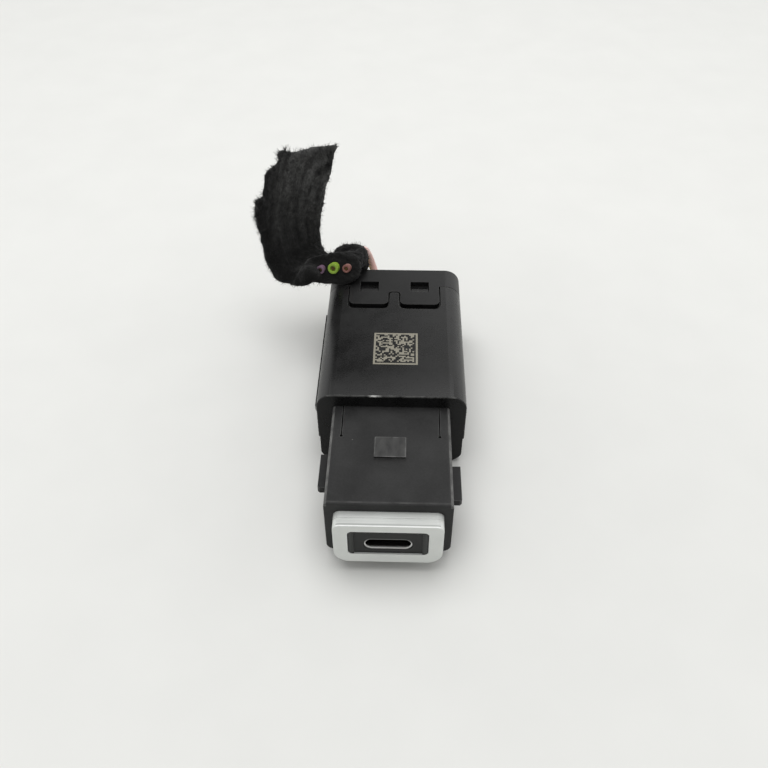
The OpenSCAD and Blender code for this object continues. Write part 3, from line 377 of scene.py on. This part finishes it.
# Lint: sparse pale specks and hair scratches from handling.
lint, takes, gives = new_group("lint", {"Amount": 0.5}, ["Mask"])
place = object_place(lint)
speck = put(lint, "TexVoronoi", {"Vector": place, "Scale": 420, "Randomness": 1.0}, feature="F1").outputs
chance = put(lint, "SeparateColor", {"Color": speck["Color"]}).outputs[0]
few = maths(lint, "GREATER_THAN", chance, 0.9)
dots = times(lint, ranged(lint, speck["Distance"], 0.07, 0.04), few)
slant = put(lint, "Mapping", {"Vector": place, "Rotation": (0, 0, 0.6), "Scale": (260, 9, 260)}).outputs[0]
hairs = ranged(lint, noise(lint, slant, 1.0, 2), 0.7, 0.76)
both = maths(lint, "MULTIPLY_ADD", hairs, 0.35, dots, clamp=True)
lint.links.new(times(lint, both, takes.outputs["Amount"]), gives.inputs["Mask"])
lint_tone = (0.2, 0.2, 0.19, 1)


def black_moulding(name, dark, pale, worn_highlight, wear_highlight_width=0.22 * mm, lint_amount=0.5, grain=9000.0,
                   rough=(0.42, 0.56), tooth=0.35, gloss=0.4):
    finish, tree, shader = new_finish(name)
    grained = use(tree, mould_grain, Grain=grain)
    tones = mix(tree, ranged(tree, grained["Stain"], 0.34, 0.66), dark, pale)
    # Edges: worn paler, with a painted highlight.
    tones = mix(tree, use(tree, edge_wear_highlight, Width=wear_highlight_width)["Mask"], tones, worn_highlight)
    tones = mix(tree, use(tree, lint, Amount=lint_amount)["Mask"], tones, lint_tone)
    tree.links.new(tones, shader.inputs["Base Color"])
    tree.links.new(ranged(tree, grained["Stain"], 0.3, 0.7, *rough), shader.inputs["Roughness"])
    # The mould's side walls are eroded coarser than its floor, so they shine less.
    normal = put(tree, "NewGeometry").outputs["Normal"]
    lying = maths(tree, "ABSOLUTE", put(tree, "SeparateXYZ", {"Vector": normal}).outputs["Z"])
    tree.links.new(ranged(tree, lying, 0.3, 0.8, 0.5 * gloss, gloss), shader.inputs["Specular IOR Level"])
    soft = put(tree, "Bevel", {"Radius": 0.06 * mm}, samples=6).outputs[0]
    bumped(tree, shader, grained["Height"], tooth, 0.03 * mm, Normal=soft)
    return finish, tree, shader, tones


def dress(name, finish):
    data = nodes[name].data
    data.materials.clear()
    data.materials.append(finish)


def between(tree, value, low, high):
    return times(tree, maths(tree, "GREATER_THAN", value, low), maths(tree, "LESS_THAN", value, high))


def patch(tree, one, one_limits, other, other_limits):
    return times(tree, between(tree, one, *one_limits), between(tree, other, *other_limits))


def shares(tree, vector, low, size):
    """Place in a rectangle, from 0 at its low corner to 1 one size further on."""
    moved = (-low[0] / size[0], -low[1] / size[1], 0)
    scaled = (1 / size[0], 1 / size[1], 0)
    return put(tree, "Mapping", {"Vector": vector, "Location": moved, "Scale": scaled}).outputs[0]


housing_dark = (0.004, 0.004, 0.0041, 1)
housing_pale = (0.0115, 0.0115, 0.0116, 1)
housing_worn_highlight = (0.06, 0.06, 0.058, 1)
rear_finish, tree, shader, tones = black_moulding(
    "rear_moulding", housing_dark, housing_pale, housing_worn_highlight, rough=(0.23, 0.35), tooth=0.12)
# The burnt field: pale ground with a pale frame, and dark cells on a fine square grid.
field_low = (-4.0 * mm, 1.95 * mm)
field_size = (9.2 * mm, 9.85 * mm)
cells = 24
margin = 0.045
dark_share = 0.54
burnt_dull = (0.19, 0.178, 0.142, 1)
burnt_bright = (0.3, 0.282, 0.228, 1)
top_face = 19.1 * mm
place = object_place(tree)
at = put(tree, "SeparateXYZ", {"Vector": place}).outputs
on_top = maths(tree, "GREATER_THAN", at["Z"], top_face)
local = shares(tree, place, field_low, field_size)
within = put(tree, "SeparateXYZ", {"Vector": local}).outputs
field = times(tree, patch(tree, within["X"], (0, 1), within["Y"], (0, 1)), on_top)
framed = (margin, 1 - margin)
inner = patch(tree, within["X"], framed, within["Y"], framed)
step = (1 - 2 * margin) / cells
grid = shares(tree, local, (margin, margin), (step, step))
grid = put(tree, "VectorMath", {0: grid}, operation="FLOOR").outputs[0]
chance = put(tree, "TexWhiteNoise", {"Vector": grid}, noise_dimensions="2D").outputs["Value"]
drawn = maths(tree, "LESS_THAN", chance, dark_share)
# Two dark lines close the field at its near and right-hand edges.
cell = put(tree, "SeparateXYZ", {"Vector": grid}).outputs
near_line = maths(tree, "LESS_THAN", cell["Y"], 0.5)
right_line = maths(tree, "GREATER_THAN", cell["X"], cells - 1.5)
drawn = maths(tree, "MAXIMUM", drawn, maths(tree, "MAXIMUM", near_line, right_line))
dark_cell = times(tree, times(tree, drawn, inner), field)
burnt_tone = mix(tree, noise(tree, place, 4000, 3), burnt_dull, burnt_bright)
tones = mix(tree, maths(tree, "SUBTRACT", field, dark_cell, clamp=True), tones, burnt_tone)
# Painted sheen: the front end of the top is painted a little paler.
sheen_front_y = (0.0, -6.5 * mm)
painted_sheen_front = times(tree, ranged(tree, at["Y"], *sheen_front_y), on_top)
tones = mix(tree, painted_sheen_front, tones, grey(0.026))
# The upper front edge is rubbed along its length and carries a painted highlight line; left of the middle it
# is scraped bare with a painted glint.
edge_y = (-7.4 * mm, -7.05 * mm)
edge_z = (18.85 * mm, 19.3 * mm)
scrape_glint_x = -3.4 * mm
scrape_glint_reach = (1.6 * mm, 0.5 * mm)
scrape_glint_y = (-7.3 * mm, -7.1 * mm)
edge = patch(tree, at["Y"], edge_y, at["Z"], edge_z)
rubs_and_highlight = ranged(tree, noise(tree, place, 700, 4), 0.35, 0.65, 0.1)
tones = mix(tree, times(tree, edge, rubs_and_highlight), tones, (0.075, 0.075, 0.073, 1))
off_scrape_glint = maths(tree, "ABSOLUTE", maths(tree, "SUBTRACT", at["X"], scrape_glint_x))
scrape_glint = ranged(tree, off_scrape_glint, *scrape_glint_reach)
scrape_glint = times(tree, scrape_glint, times(tree, edge, between(tree, at["Y"], *scrape_glint_y)))
tones = mix(tree, times(tree, scrape_glint, rubs_and_highlight), tones, (0.7, 0.7, 0.68, 1))
tree.links.new(tones, shader.inputs["Base Color"])
dress("rear_housing", rear_finish)


# Rear cover: a moulded cap of the same black plastic, clipped over the housing's open end by four
# tongues whose windows snap over hooks. It comes from another mould, so its grain differs a little.
cover_finish = black_moulding(
    "cover_moulding", housing_dark, housing_pale, housing_worn_highlight, rough=(0.32, 0.46), tooth=0.2)[0]
dress("rear_cover", cover_finish)


# Front housing: the slim nose, moulded with a spring panel between two slits and a low catch wedge.
# The wedge's sloped face carries painted light in pale streaks, and its rim is rubbed and carries a painted
# highlight.
nose_dark = (0.0155, 0.0155, 0.0156, 1)
nose_pale = (0.0275, 0.0275, 0.0276, 1)
nose_worn_highlight = (0.1, 0.1, 0.098, 1)
wedge_x = (-3.0 * mm, 3.0 * mm)
wedge_y = (-20.7 * mm, -15.2 * mm)
wedge_foot = 16.205 * mm
face_x = (-2.78 * mm, 2.78 * mm)
face_y = (-20.45 * mm, -15.4 * mm)
long_edge_x = (11.1 * mm, 11.62 * mm)
long_edge_z = (15.4 * mm, 16.15 * mm)
front_edge_y = (-31.1 * mm, -30.75 * mm)
front_edge_z = (15.9 * mm, 16.3 * mm)
nose_finish, tree, shader, tones = black_moulding(
    "nose_moulding", nose_dark, nose_pale, nose_worn_highlight, wear_highlight_width=0.3 * mm)
place = object_place(tree)
at = put(tree, "SeparateXYZ", {"Vector": place}).outputs
wedge = patch(tree, at["X"], wedge_x, at["Y"], wedge_y)
wedge = times(tree, wedge, maths(tree, "GREATER_THAN", at["Z"], wedge_foot))
# Painted light: the wedge's face is painted paler in streaks, and its rim paler still as rubbing and a
# painted highlight.
lengthwise = put(tree, "Mapping", {"Vector": place, "Scale": (900, 350, 900)}).outputs[0]
streaks = ranged(tree, noise(tree, lengthwise, 1.0, 4), 0.3, 0.7)
wedge_painted_light = mix(tree, streaks, grey(0.026), (0.052, 0.052, 0.051, 1))
tones = mix(tree, wedge, tones, wedge_painted_light)
wedge_face = patch(tree, at["X"], face_x, at["Y"], face_y)
rim = maths(tree, "SUBTRACT", wedge, wedge_face, clamp=True)
tones = mix(tree, times(tree, rim, streaks), tones, (0.11, 0.11, 0.108, 1))
# Its two long upper edges are rubbed pale by the bracket and carry a painted highlight line, and less so the
# edge above the frame.
off_middle = maths(tree, "ABSOLUTE", at["X"])
long_edge = patch(tree, off_middle, long_edge_x, at["Z"], long_edge_z)
front_edge = patch(tree, at["Y"], front_edge_y, at["Z"], front_edge_z)
edges = maths(tree, "MULTIPLY_ADD", front_edge, 0.3, long_edge, clamp=True)
rubs_and_highlight = ranged(tree, noise(tree, place, 500, 4), 0.3, 0.65, 0.2)
tones = mix(tree, times(tree, edges, rubs_and_highlight), tones, (0.12, 0.12, 0.117, 1))
tree.links.new(tones, shader.inputs["Base Color"])
dress("front_housing", nose_finish)


# Silver frame: a moulded trim ring with a satin silver lacquer. It is pushed into the nose from the
# front and stands out of it, with a fine line moulded round its sides.
silver_dull = (0.66, 0.678, 0.657, 1)
silver_bright = (0.72, 0.738, 0.716, 1)
frame_top = 13.9 * mm
shade_line_y = (-34.3 * mm, -34.05 * mm)
highlight_band_y = (-34.6 * mm, -34.42 * mm)
silver_finish, tree, shader = new_finish("satin_silver", Metallic=0.3, Specular_IOR_Level=0.4)
place = object_place(tree)
tones = graded(tree, noise(tree, place, 260, 5), (0.3, silver_dull), (0.7, silver_bright))
# Its edges are worn paler and carry a painted highlight.
tones = mix(tree, use(tree, edge_wear_highlight, Width=0.18 * mm)["Mask"], tones, (0.86, 0.87, 0.86, 1))
# The upper front edge carries a painted highlight band, with a painted shade line behind it where the top
# has a slight step, and wiping lines cross the top.
at = put(tree, "SeparateXYZ", {"Vector": place}).outputs
topside = maths(tree, "GREATER_THAN", at["Z"], frame_top)
crosswise = put(tree, "Mapping", {"Vector": place, "Scale": (60, 4200, 60)}).outputs[0]
wiped = ranged(tree, noise(tree, crosswise, 1.0, 2), 0.4, 0.65, 0, 0.3)
tones = mix(tree, times(tree, topside, wiped), tones, (0.44, 0.45, 0.44, 1))
painted_shade_line = times(tree, topside, between(tree, at["Y"], *shade_line_y))
tones = mix(tree, times(tree, painted_shade_line, 0.7), tones, (0.33, 0.34, 0.33, 1))
painted_highlight_band = times(tree, topside, between(tree, at["Y"], *highlight_band_y))
tones = mix(tree, painted_highlight_band, tones, (0.95, 0.96, 0.95, 1))
tree.links.new(tones, shader.inputs["Base Color"])
flakes = noise(tree, place, 7000, 2)
tree.links.new(ranged(tree, flakes, 0.3, 0.7, 0.3, 0.44), shader.inputs["Roughness"])
soft = put(tree, "Bevel", {"Radius": 0.06 * mm}, samples=6).outputs[0]
bumped(tree, shader, flakes, 0.2, 0.02 * mm, Normal=soft)
dress("bezel_frame", silver_finish)


# Port insert: a dark moulding pushed in behind the frame's opening, with two raised cheeks beside the
# receptacle. Dirt in its joint with the frame makes a dark line round it.
insert_dark = (0.009, 0.0094, 0.009, 1)
insert_pale = (0.014, 0.0145, 0.014, 1)
insert_worn_highlight = (0.07, 0.07, 0.068, 1)
insert_middle = 9.0 * mm
cheek_x = (6.1 * mm, 7.3 * mm)
joint_x = (7.0 * mm, 7.2 * mm)
joint_z = (3.05 * mm, 3.25 * mm)
insert_finish, tree, shader, tones = black_moulding(
    "insert_moulding", insert_dark, insert_pale, insert_worn_highlight, wear_highlight_width=0.1 * mm, lint_amount=0.7, gloss=0.6)
at = put(tree, "SeparateXYZ", {"Vector": object_place(tree)}).outputs
off_middle = maths(tree, "ABSOLUTE", at["X"])
tones = mix(tree, ranged(tree, off_middle, *cheek_x), tones, (0.05, 0.053, 0.05, 1))
off_height = maths(tree, "ABSOLUTE", maths(tree, "SUBTRACT", at["Z"], insert_middle))
beside = ranged(tree, off_middle, *joint_x)
above_below = ranged(tree, off_height, *joint_z)
tones = mix(tree, maths(tree, "MAXIMUM", beside, above_below), tones, grey(0.006))
tree.links.new(tones, shader.inputs["Base Color"])
dress("port_insert", insert_finish)


# Receptacle: a shell of stamped steel with a bright nickel face, round a black moulded tongue that
# holds a steel plate and two rows of gilt contact strips.
upper_shade_z = (7.8 * mm, 9.2 * mm)
satin_y = (-33.95 * mm, -33.7 * mm)
deep_shade_y = (-33.75 * mm, -33.5 * mm)
steel_finish, tree, shader = new_finish("nickel_steel")
place = object_place(tree)
drawn_lines = put(tree, "Mapping", {"Vector": place, "Scale": (5000, 300, 5000)}).outputs[0]
streaks = noise(tree, drawn_lines, 1.0, 3)
tones = graded(tree, streaks, (0, (0.86, 0.86, 0.845, 1)), (1, (0.95, 0.95, 0.935, 1)))
# The rim is bright below and at its ends; painted shade darkens it above, and deeper painted shade further
# in.
at = put(tree, "SeparateXYZ", {"Vector": place}).outputs
upper_painted_shade = ranged(tree, at["Z"], *upper_shade_z, 0, 0.85)
tones = mix(tree, upper_painted_shade, tones, (0.2, 0.2, 0.196, 1))
deep_painted_shade = ranged(tree, at["Y"], *deep_shade_y)
tones = mix(tree, deep_painted_shade, tones, (0.25, 0.25, 0.245, 1))
tree.links.new(tones, shader.inputs["Base Color"])
# Tumbling has left the rim itself satin, so it scatters light.
tree.links.new(ranged(tree, at["Y"], *satin_y, 0.3, 1.0), shader.inputs["Metallic"])
tree.links.new(ranged(tree, streaks, 0, 1, 0.14, 0.22), shader.inputs["Roughness"])
dress("usb_shell", steel_finish)
dress("tongue_plate", steel_finish)
tongue_finish = black_moulding(
    "tongue_moulding", (0.08, 0.08, 0.078, 1), (0.1, 0.1, 0.098, 1), (0.12, 0.12, 0.118, 1),
    wear_highlight_width=0.05 * mm, lint_amount=0.2)[0]
dress("usb_tongue", tongue_finish)
gilt_finish, tree, shader = new_finish("gilt_contacts", Metallic=1.0)
wiped = noise(tree, object_place(tree), 1800, 4)
gilt = graded(tree, wiped, (0, (0.13, 0.095, 0.04, 1)), (1, (0.22, 0.17, 0.08, 1)))
tree.links.new(gilt, shader.inputs["Base Color"])
tree.links.new(ranged(tree, wiped, 0, 1, 0.2, 0.4), shader.inputs["Roughness"])
for name in ("usb_contacts", "header_pins", "plug_terminals"):
    dress(name, gilt_finish)


# Circuit board and its parts: glass-fibre board under green solder mask, with moulded chips, ferrite
# coils, capacitor cans and ceramic chips soldered on. The closed housing hides them.
board_finish, tree, shader = new_finish("solder_mask", Roughness=0.35)
threads = {"Vector": object_place(tree), "Scale": 900, "Distortion": 1.0}
weave = put(tree, "TexWave", threads).outputs["Fac"]
green = graded(tree, weave, (0, (0.006, 0.06, 0.025, 1)), (1, (0.012, 0.1, 0.045, 1)))
tree.links.new(green, shader.inputs["Base Color"])
dress("circuit_board", board_finish)
chip_finish = black_moulding(
    "chip_moulding", (0.008, 0.008, 0.009, 1), (0.013, 0.013, 0.014, 1), grey(0.03), wear_highlight_width=0.1 * mm)[0]
for name in ("charge_controller", "buck_converter", "power_transistors", "clamp_diode", "chip_resistors"):
    dress(name, chip_finish)
ferrite_finish = black_moulding(
    "ferrite", (0.03, 0.03, 0.032, 1), (0.05, 0.05, 0.053, 1), grey(0.12),
    wear_highlight_width=0.1 * mm, grain=5000.0, rough=(0.6, 0.8))[0]
for name in ("power_inductor", "input_choke"):
    dress(name, ferrite_finish)


def speckled(name, low, high, metal, rough):
    finish, tree, shader = new_finish(name, Metallic=metal, Roughness=rough)
    tones = graded(tree, noise(tree, object_place(tree), 1500, 4), (0, low), (1, high))
    tree.links.new(tones, shader.inputs["Base Color"])
    return finish


can_finish = speckled("capacitor_can", (0.5, 0.51, 0.53, 1), (0.62, 0.63, 0.65, 1), 1.0, 0.35)
dress("bulk_capacitors", can_finish)
ceramic_finish = speckled("ceramic_chip", (0.28, 0.18, 0.09, 1), (0.4, 0.27, 0.14, 1), 0.0, 0.6)
dress("ceramic_capacitors", ceramic_finish)


# Harness plug: a black moulded plug with a latch arm, pushed into the cover's socket, and the pale
# retainer behind it that locks the terminals in place.
plug_finish = black_moulding(
    "plug_moulding", (0.009, 0.009, 0.0095, 1), (0.014, 0.014, 0.0145, 1), grey(0.045))[0]
dress("plug_housing", plug_finish)
retainer_finish = speckled("retainer_moulding", (0.33, 0.31, 0.26, 1), (0.4, 0.38, 0.33, 1), 0.0, 0.5)
dress("plug_lock", retainer_finish)


# Fleece tape: soft needled black fleece, wound round the wires behind their cut ends and torn back, so
# that its loose tail stands up beside them. One piece: a wound sleeve and the tail that comes off it.
def pushed(value, power):
    return math.copysign(abs(value) ** power, value)


def skin_over(name, rings):
    """Mesh over a row of rings, with a flat face at each end."""
    shape = bmesh.new()
    rows = [[shape.verts.new(p) for p in ring] for ring in rings]
    count = len(rows[0])
    for a, b in zip(rows, rows[1:]):
        for k in range(count):
            shape.faces.new((a[k], a[(k + 1) % count], b[(k + 1) % count], b[k]))
    shape.faces.new(rows[0][::-1])
    shape.faces.new(rows[-1])
    bmesh.ops.recalc_face_normals(shape, faces=shape.faces)
    data = bpy.data.meshes.new(name)
    shape.to_mesh(data)
    shape.free()
    return link_to_scene(name, data)


def oval(sides, power):
    turns = [2 * math.pi * k / sides for k in range(sides)]
    return [(pushed(math.cos(a), power), pushed(math.sin(a), power)) for a in turns]


# Wound sleeve, tight round the wires: y, middle x and z, half width and height, lean and rise.
wound_skin = (
    (30.4, -14.4, 22, 6.5, 2.7, 1, 0.5), (31.7, -14.1, 21.9, 6.6, 2.5, 0.8, 0.8),
    (33.4, -13.2, 21.7, 6.4, 1.9, 0.5, 1.9), (35.4, -12, 21.5, 5.7, 1.8, 0.2, 1.7),
    (36.8, -10.8, 21.4, 4.4, 2.6, 0.1, 0.8), (38.4, -10.5, 21.3, 3.5, 2.6, 0, 0.4))
sleeve_sides = 40
skins = []
for y, x, z, half_w, half_h, lean, rise in wound_skin:
    skin = [(x + half_w * u, half_h * v + rise * u * max(v, 0)) for u, v in oval(sleeve_sides, 0.75)]
    skins.append([Vector((px, y + lean * pz, z + pz)) * mm for px, pz in skin])
fleece = skin_over("fleece", skins)
# Loose tail: outer edge, inner edge and half thickness, from the sleeve to the torn end.
tail_edges = (
    ((-18.8, 27.6, 20), (-15.5, 36.6, 22), 0.6), ((-20.4, 27.4, 19.6), (-16.9, 37.8, 22.8), 0.9),
    ((-22, 27.8, 19.1), (-17.4, 38.6, 23.2), 1.2), ((-24, 28.5, 18.9), (-17.7, 39.2, 23.7), 1.3),
    ((-26.4, 29.8, 18.9), (-17.7, 39.6, 24.2), 1.4), ((-28.4, 31.2, 20.4), (-17.6, 40, 25), 1.4),
    ((-29.8, 32.6, 22.8), (-17.6, 40.2, 26.2), 1.4), ((-30.8, 34.6, 26.8), (-17.4, 40.4, 28.2), 1.4),
    ((-31.2, 36.2, 30.6), (-17, 40.6, 31), 1.4), ((-30.2, 37.6, 34.6), (-16, 40.6, 34.8), 1.4),
    ((-29.6, 38.6, 38.2), (-15, 40.6, 38.2), 1.3), ((-28.6, 39.6, 41.2), (-14, 40.8, 41.4), 1.2),
    ((-26, 40.2, 43.6), (-13.2, 41, 44.8), 1.1), ((-23, 40.6, 45.2), (-12.4, 41.2, 47.6), 0.9))
tail_sides = 36
tail_steps = 4
outer = smooth_through([e[0] for e in tail_edges], tail_steps)
inner = smooth_through([e[1] for e in tail_edges], tail_steps)
half = [v.x for v in smooth_through([(e[2], 0, 0) for e in tail_edges], tail_steps)]
middle = [(a + b) / 2 for a, b in zip(outer, inner)]
tail_ways = []
tail_rings = []
for i, (a, b) in enumerate(zip(outer, inner)):
    way = (middle[min(i + 1, len(middle) - 1)] - middle[max(i - 1, 0)]).normalized()
    across = (b - a) / 2
    rise = way.cross(across).normalized() * half[i]
    tail_ways.append(way)
    tail_rings.append([(middle[i] + u * across + v * rise) * mm for u, v in oval(tail_sides, 0.7)])
tail = skin_over("fleece_tail", tail_rings)
# Matted lumps on the tail's outer edge, a fold in the angle between tail and sleeve, a fold that hangs
# over the wires on the right, and the torn corner: middle and half size of each.
clump_shapes = (
    ((-29.8, 36.4, 33.4), (1.9, 1.5, 3.4)), ((-30.3, 35.6, 30.2), (1.2, 1.2, 2.6)),
    ((-19.6, 29.8, 21.2), (2.8, 2.2, 2)), ((-8.1, 36.1, 19.2), (1.8, 1.2, 1.9)),
    ((-24.6, 40.4, 44.9), (1.5, 0.8, 1.1)))
clumps = []
for spot, spread in clump_shapes:
    bpy.ops.object.select_all(action="DESELECT")
    bpy.ops.mesh.primitive_uv_sphere_add(
        segments=20, ring_count=12, radius=mm, location=Vector(spot) * mm, scale=spread)
    bpy.ops.object.transform_apply()
    clumps.append(bpy.context.object)
for piece in [fleece, tail] + clumps:
    piece.select_set(True)
bpy.context.view_layer.objects.active = fleece
bpy.ops.object.join()


def roughen(name, size, height):
    texture = bpy.data.textures.new(name, "CLOUDS")
    texture.noise_scale = size
    texture.noise_depth = 3
    apply_modifier(
        fleece, "DISPLACE", texture=texture, strength=height, mid_level=0.5, vertex_group="lumpy")


apply_modifier(fleece, "REMESH", mode="VOXEL", voxel_size=0.32 * mm)
apply_modifier(fleece, "SMOOTH", factor=0.5, iterations=20)
# The fleece lies flat round the cut ends, and is lumpy everywhere else.
flat_reach = 1.5 * mm
lumpy_over = 2 * mm
cut_ends = [Vector(route[-1]) * mm for *_, route in wires]
lumpy = fleece.vertex_groups.new(name="lumpy")
for vertex in fleece.data.vertices:
    near = min((vertex.co - end).length for end in cut_ends)
    lumpy.add([vertex.index], min(max((near - flat_reach) / lumpy_over, 0), 1), "REPLACE")
roughen("fleece_folds", 4.5 * mm, 1.3 * mm)
roughen("fleece_mats", 1.2 * mm, 0.6 * mm)
# Each point's place in millimetres across and along the tail, for fibres combed along its length.
along = [0.0]
for a, b in zip(middle, middle[1:]):
    along.append(along[-1] + (b - a).length)
spine = kdtree.KDTree(len(middle))
for i, p in enumerate(middle):
    spine.insert(p * mm, i)
spine.balance()
combed = []
for vertex in fleece.data.vertices:
    i = spine.find(vertex.co)[1]
    off = vertex.co / mm - middle[i]
    across = (inner[i] - outer[i]).normalized()
    combed.extend((off.dot(across), along[i] + off.dot(tail_ways[i]), 0))
fleece.data.attributes.new("comb", "FLOAT_VECTOR", "POINT").data.foreach_set("vector", combed)
fleece_dark = grey(0.003)
fleece_pale = (0.125, 0.125, 0.122, 1)
fleece_finish, tree, shader = new_finish(
    "needled_fleece", Roughness=0.95, Specular_IOR_Level=0.1, Sheen_Weight=0.15, Sheen_Roughness=0.5)
comb = put(tree, "Attribute", attribute_name="comb").outputs["Vector"]
fine = put(tree, "Mapping", {"Vector": comb, "Scale": (4.2, 0.7, 1)}).outputs[0]
fine = noise(tree, fine, 1.0, 5, Roughness=0.75, Distortion=0.5)
broad = put(tree, "Mapping", {"Vector": comb, "Scale": (0.8, 0.11, 1)}).outputs[0]
broad = noise(tree, broad, 1.0, 3, Distortion=0.4)
matted = noise(tree, object_place(tree), 700, 6, Roughness=0.75)
felt = times(tree, times(tree, fine, matted), broad)
tones = graded(tree, felt, (0.05, fleece_dark), (0.24, fleece_pale))
# The tail's outer border is thinner, and the shade it lies in is painted darker. Towards the sleeve the
# fleece is darker too. Both places are millimetres of the comb.
border_shade_x = (-5.8, -3.0)
darker_to_sleeve_y = (8.0, 26.0)
combed_at = put(tree, "SeparateXYZ", {"Vector": comb}).outputs
border_painted_shade = ranged(tree, combed_at["X"], *border_shade_x, 0.15, 1.0)
darker_to_sleeve = ranged(tree, combed_at["Y"], *darker_to_sleeve_y, 0.1, 1.0)
tones = mix(tree, times(tree, border_painted_shade, darker_to_sleeve), fleece_dark, tones)
tree.links.new(tones, shader.inputs["Base Color"])
bumped(tree, shader, felt, 1.0, 0.9 * mm)
fleece.data.materials.append(fleece_finish)
for face in fleece.data.polygons:
    face.use_smooth = True

# Fuzz: single fibres that stand off the fleece all over, and tufts at the torn end and the outer edge.
lot = random.Random(7)
bare_reach = 2.2 * mm
faces = [(f.center.copy(), f.normal.copy(), f.area) for f in fleece.data.polygons]
clear_faces = [f for f in faces if min((f[0] - end).length for end in cut_ends) > bare_reach]


def astray():
    return Vector((lot.gauss(0, 1), lot.gauss(0, 1), lot.gauss(0, 1))).normalized()


def fibres(name, roots, rings, curl):
    """Three-sided fibres that taper and curl, one from each root's start, heading, length and thickness."""
    thirds = [k * math.tau / 3 for k in range(3)]
    taper = 0.85
    points = []
    corners = []
    for start, heading, long, thick in roots:
        bend = astray()
        side = heading.cross(bend).normalized()
        rise = heading.cross(side)
        first = len(points)
        for k in range(rings):
            t = k / (rings - 1)
            at = start + long * (t * heading + curl * t * t * bend)
            for a in thirds:
                points.append(at + thick * (1 - taper * t) * (math.cos(a) * side + math.sin(a) * rise))
        for k in range(rings - 1):
            low = first + 3 * k
            for a, b in ((0, 1), (1, 2), (2, 0)):
                corners.append((low + a, low + b, low + 3 + b, low + 3 + a))
        corners.append((first + 2, first + 1, first))
        corners.append(tuple(first + 3 * (rings - 1) + a for a in (0, 1, 2)))
    data = bpy.data.meshes.new(name)
    data.from_pydata(points, [], corners)
    return link_to_scene(name, data)


fuzz_count = 9000
fuzz_sunk = 0.15 * mm
roots = []
for centre, normal, _ in lot.choices(clear_faces, weights=[f[2] for f in clear_faces], k=fuzz_count):
    heading = (0.5 * normal + 0.6 * astray()).normalized()
    long = lot.uniform(0.4, 1.1) * mm
    thick = lot.uniform(0.02, 0.045) * mm
    roots.append((centre - fuzz_sunk * normal, heading, long, thick))
fuzz = fibres("fleece_fuzz", roots, 3, 0.4)
# Tufts: middle, way, reach round the middle, longest fibre and count.
tufts = (
    ((-27.6, 39.8, 42.6), (-0.8, 0, 0.5), 1.6, 0.8, 60), ((-25.6, 40.3, 44.8), (-0.6, 0, 0.7), 1.4, 1.1, 80),
    ((-23.4, 40.6, 45.6), (0, 0, 1), 1.1, 1.5, 50), ((-20.5, 40.8, 45.5), (0, 0, 1), 2, 1.2, 50),
    ((-16.5, 41, 46.6), (0.1, 0, 1), 2.4, 1.1, 50), ((-12.8, 41.1, 47.3), (0.5, 0, 0.8), 1.2, 0.8, 24),
    ((-30.6, 37.2, 36), (-0.9, -0.1, 0.3), 1.6, 1.1, 90),
    ((-31.4, 36, 32.4), (-0.8, -0.2, -0.6), 2.2, 1.25, 200),
    ((-31, 34.8, 28.4), (-0.7, -0.2, -0.7), 2, 1, 80),
    ((-30.4, 33.6, 24.6), (-0.7, -0.2, -0.6), 2.4, 0.9, 60),
    ((-28.4, 31.2, 20.8), (-0.6, -0.3, -0.7), 2.2, 1, 60),
    ((-24.5, 28.6, 18.9), (-0.2, -0.5, -0.8), 2.4, 1, 60),
    ((-17, 40.4, 29), (0.9, 0, 0.1), 4, 0.8, 60), ((-16, 40.6, 35), (0.9, 0, 0.1), 4, 0.8, 50),
    ((-10.5, 37.8, 24), (0, -0.2, 1), 2.6, 1, 80), ((-15, 28.5, 19.4), (0, -0.7, -0.6), 4, 0.9, 80))
tuft_sunk = 0.2 * mm
roots = []
for spot, way, reach, longest, count in tufts:
    spot = Vector(spot) * mm
    way = Vector(way).normalized()
    close = [f for f in clear_faces if (f[0] - spot).length < reach * mm]
    for centre, normal, _ in lot.choices(close, k=count) if close else ():
        heading = (0.7 * way + 0.25 * normal + 0.45 * astray()).normalized()
        long = lot.uniform(0.3, 1) * longest * mm
        thick = lot.uniform(0.045, 0.1) * mm
        roots.append((centre - tuft_sunk * normal, heading, long, thick))
tuft_fibres = fibres("fleece_tufts", roots, 5, 0.5)
fuzz_finish, tree, shader = new_finish("fleece_fibres", Roughness=0.7, Specular_IOR_Level=0.25)
varied = noise(tree, object_place(tree), 1400, 3)
tones = graded(tree, varied, (0.35, fleece_dark), (0.75, (0.016, 0.016, 0.0155, 1)))
tree.links.new(tones, shader.inputs["Base Color"])
for piece in (fuzz, tuft_fibres):
    piece.data.materials.append(fuzz_finish)
    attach(piece, "root")
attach(fleece, "root")
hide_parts("fleece_tape")
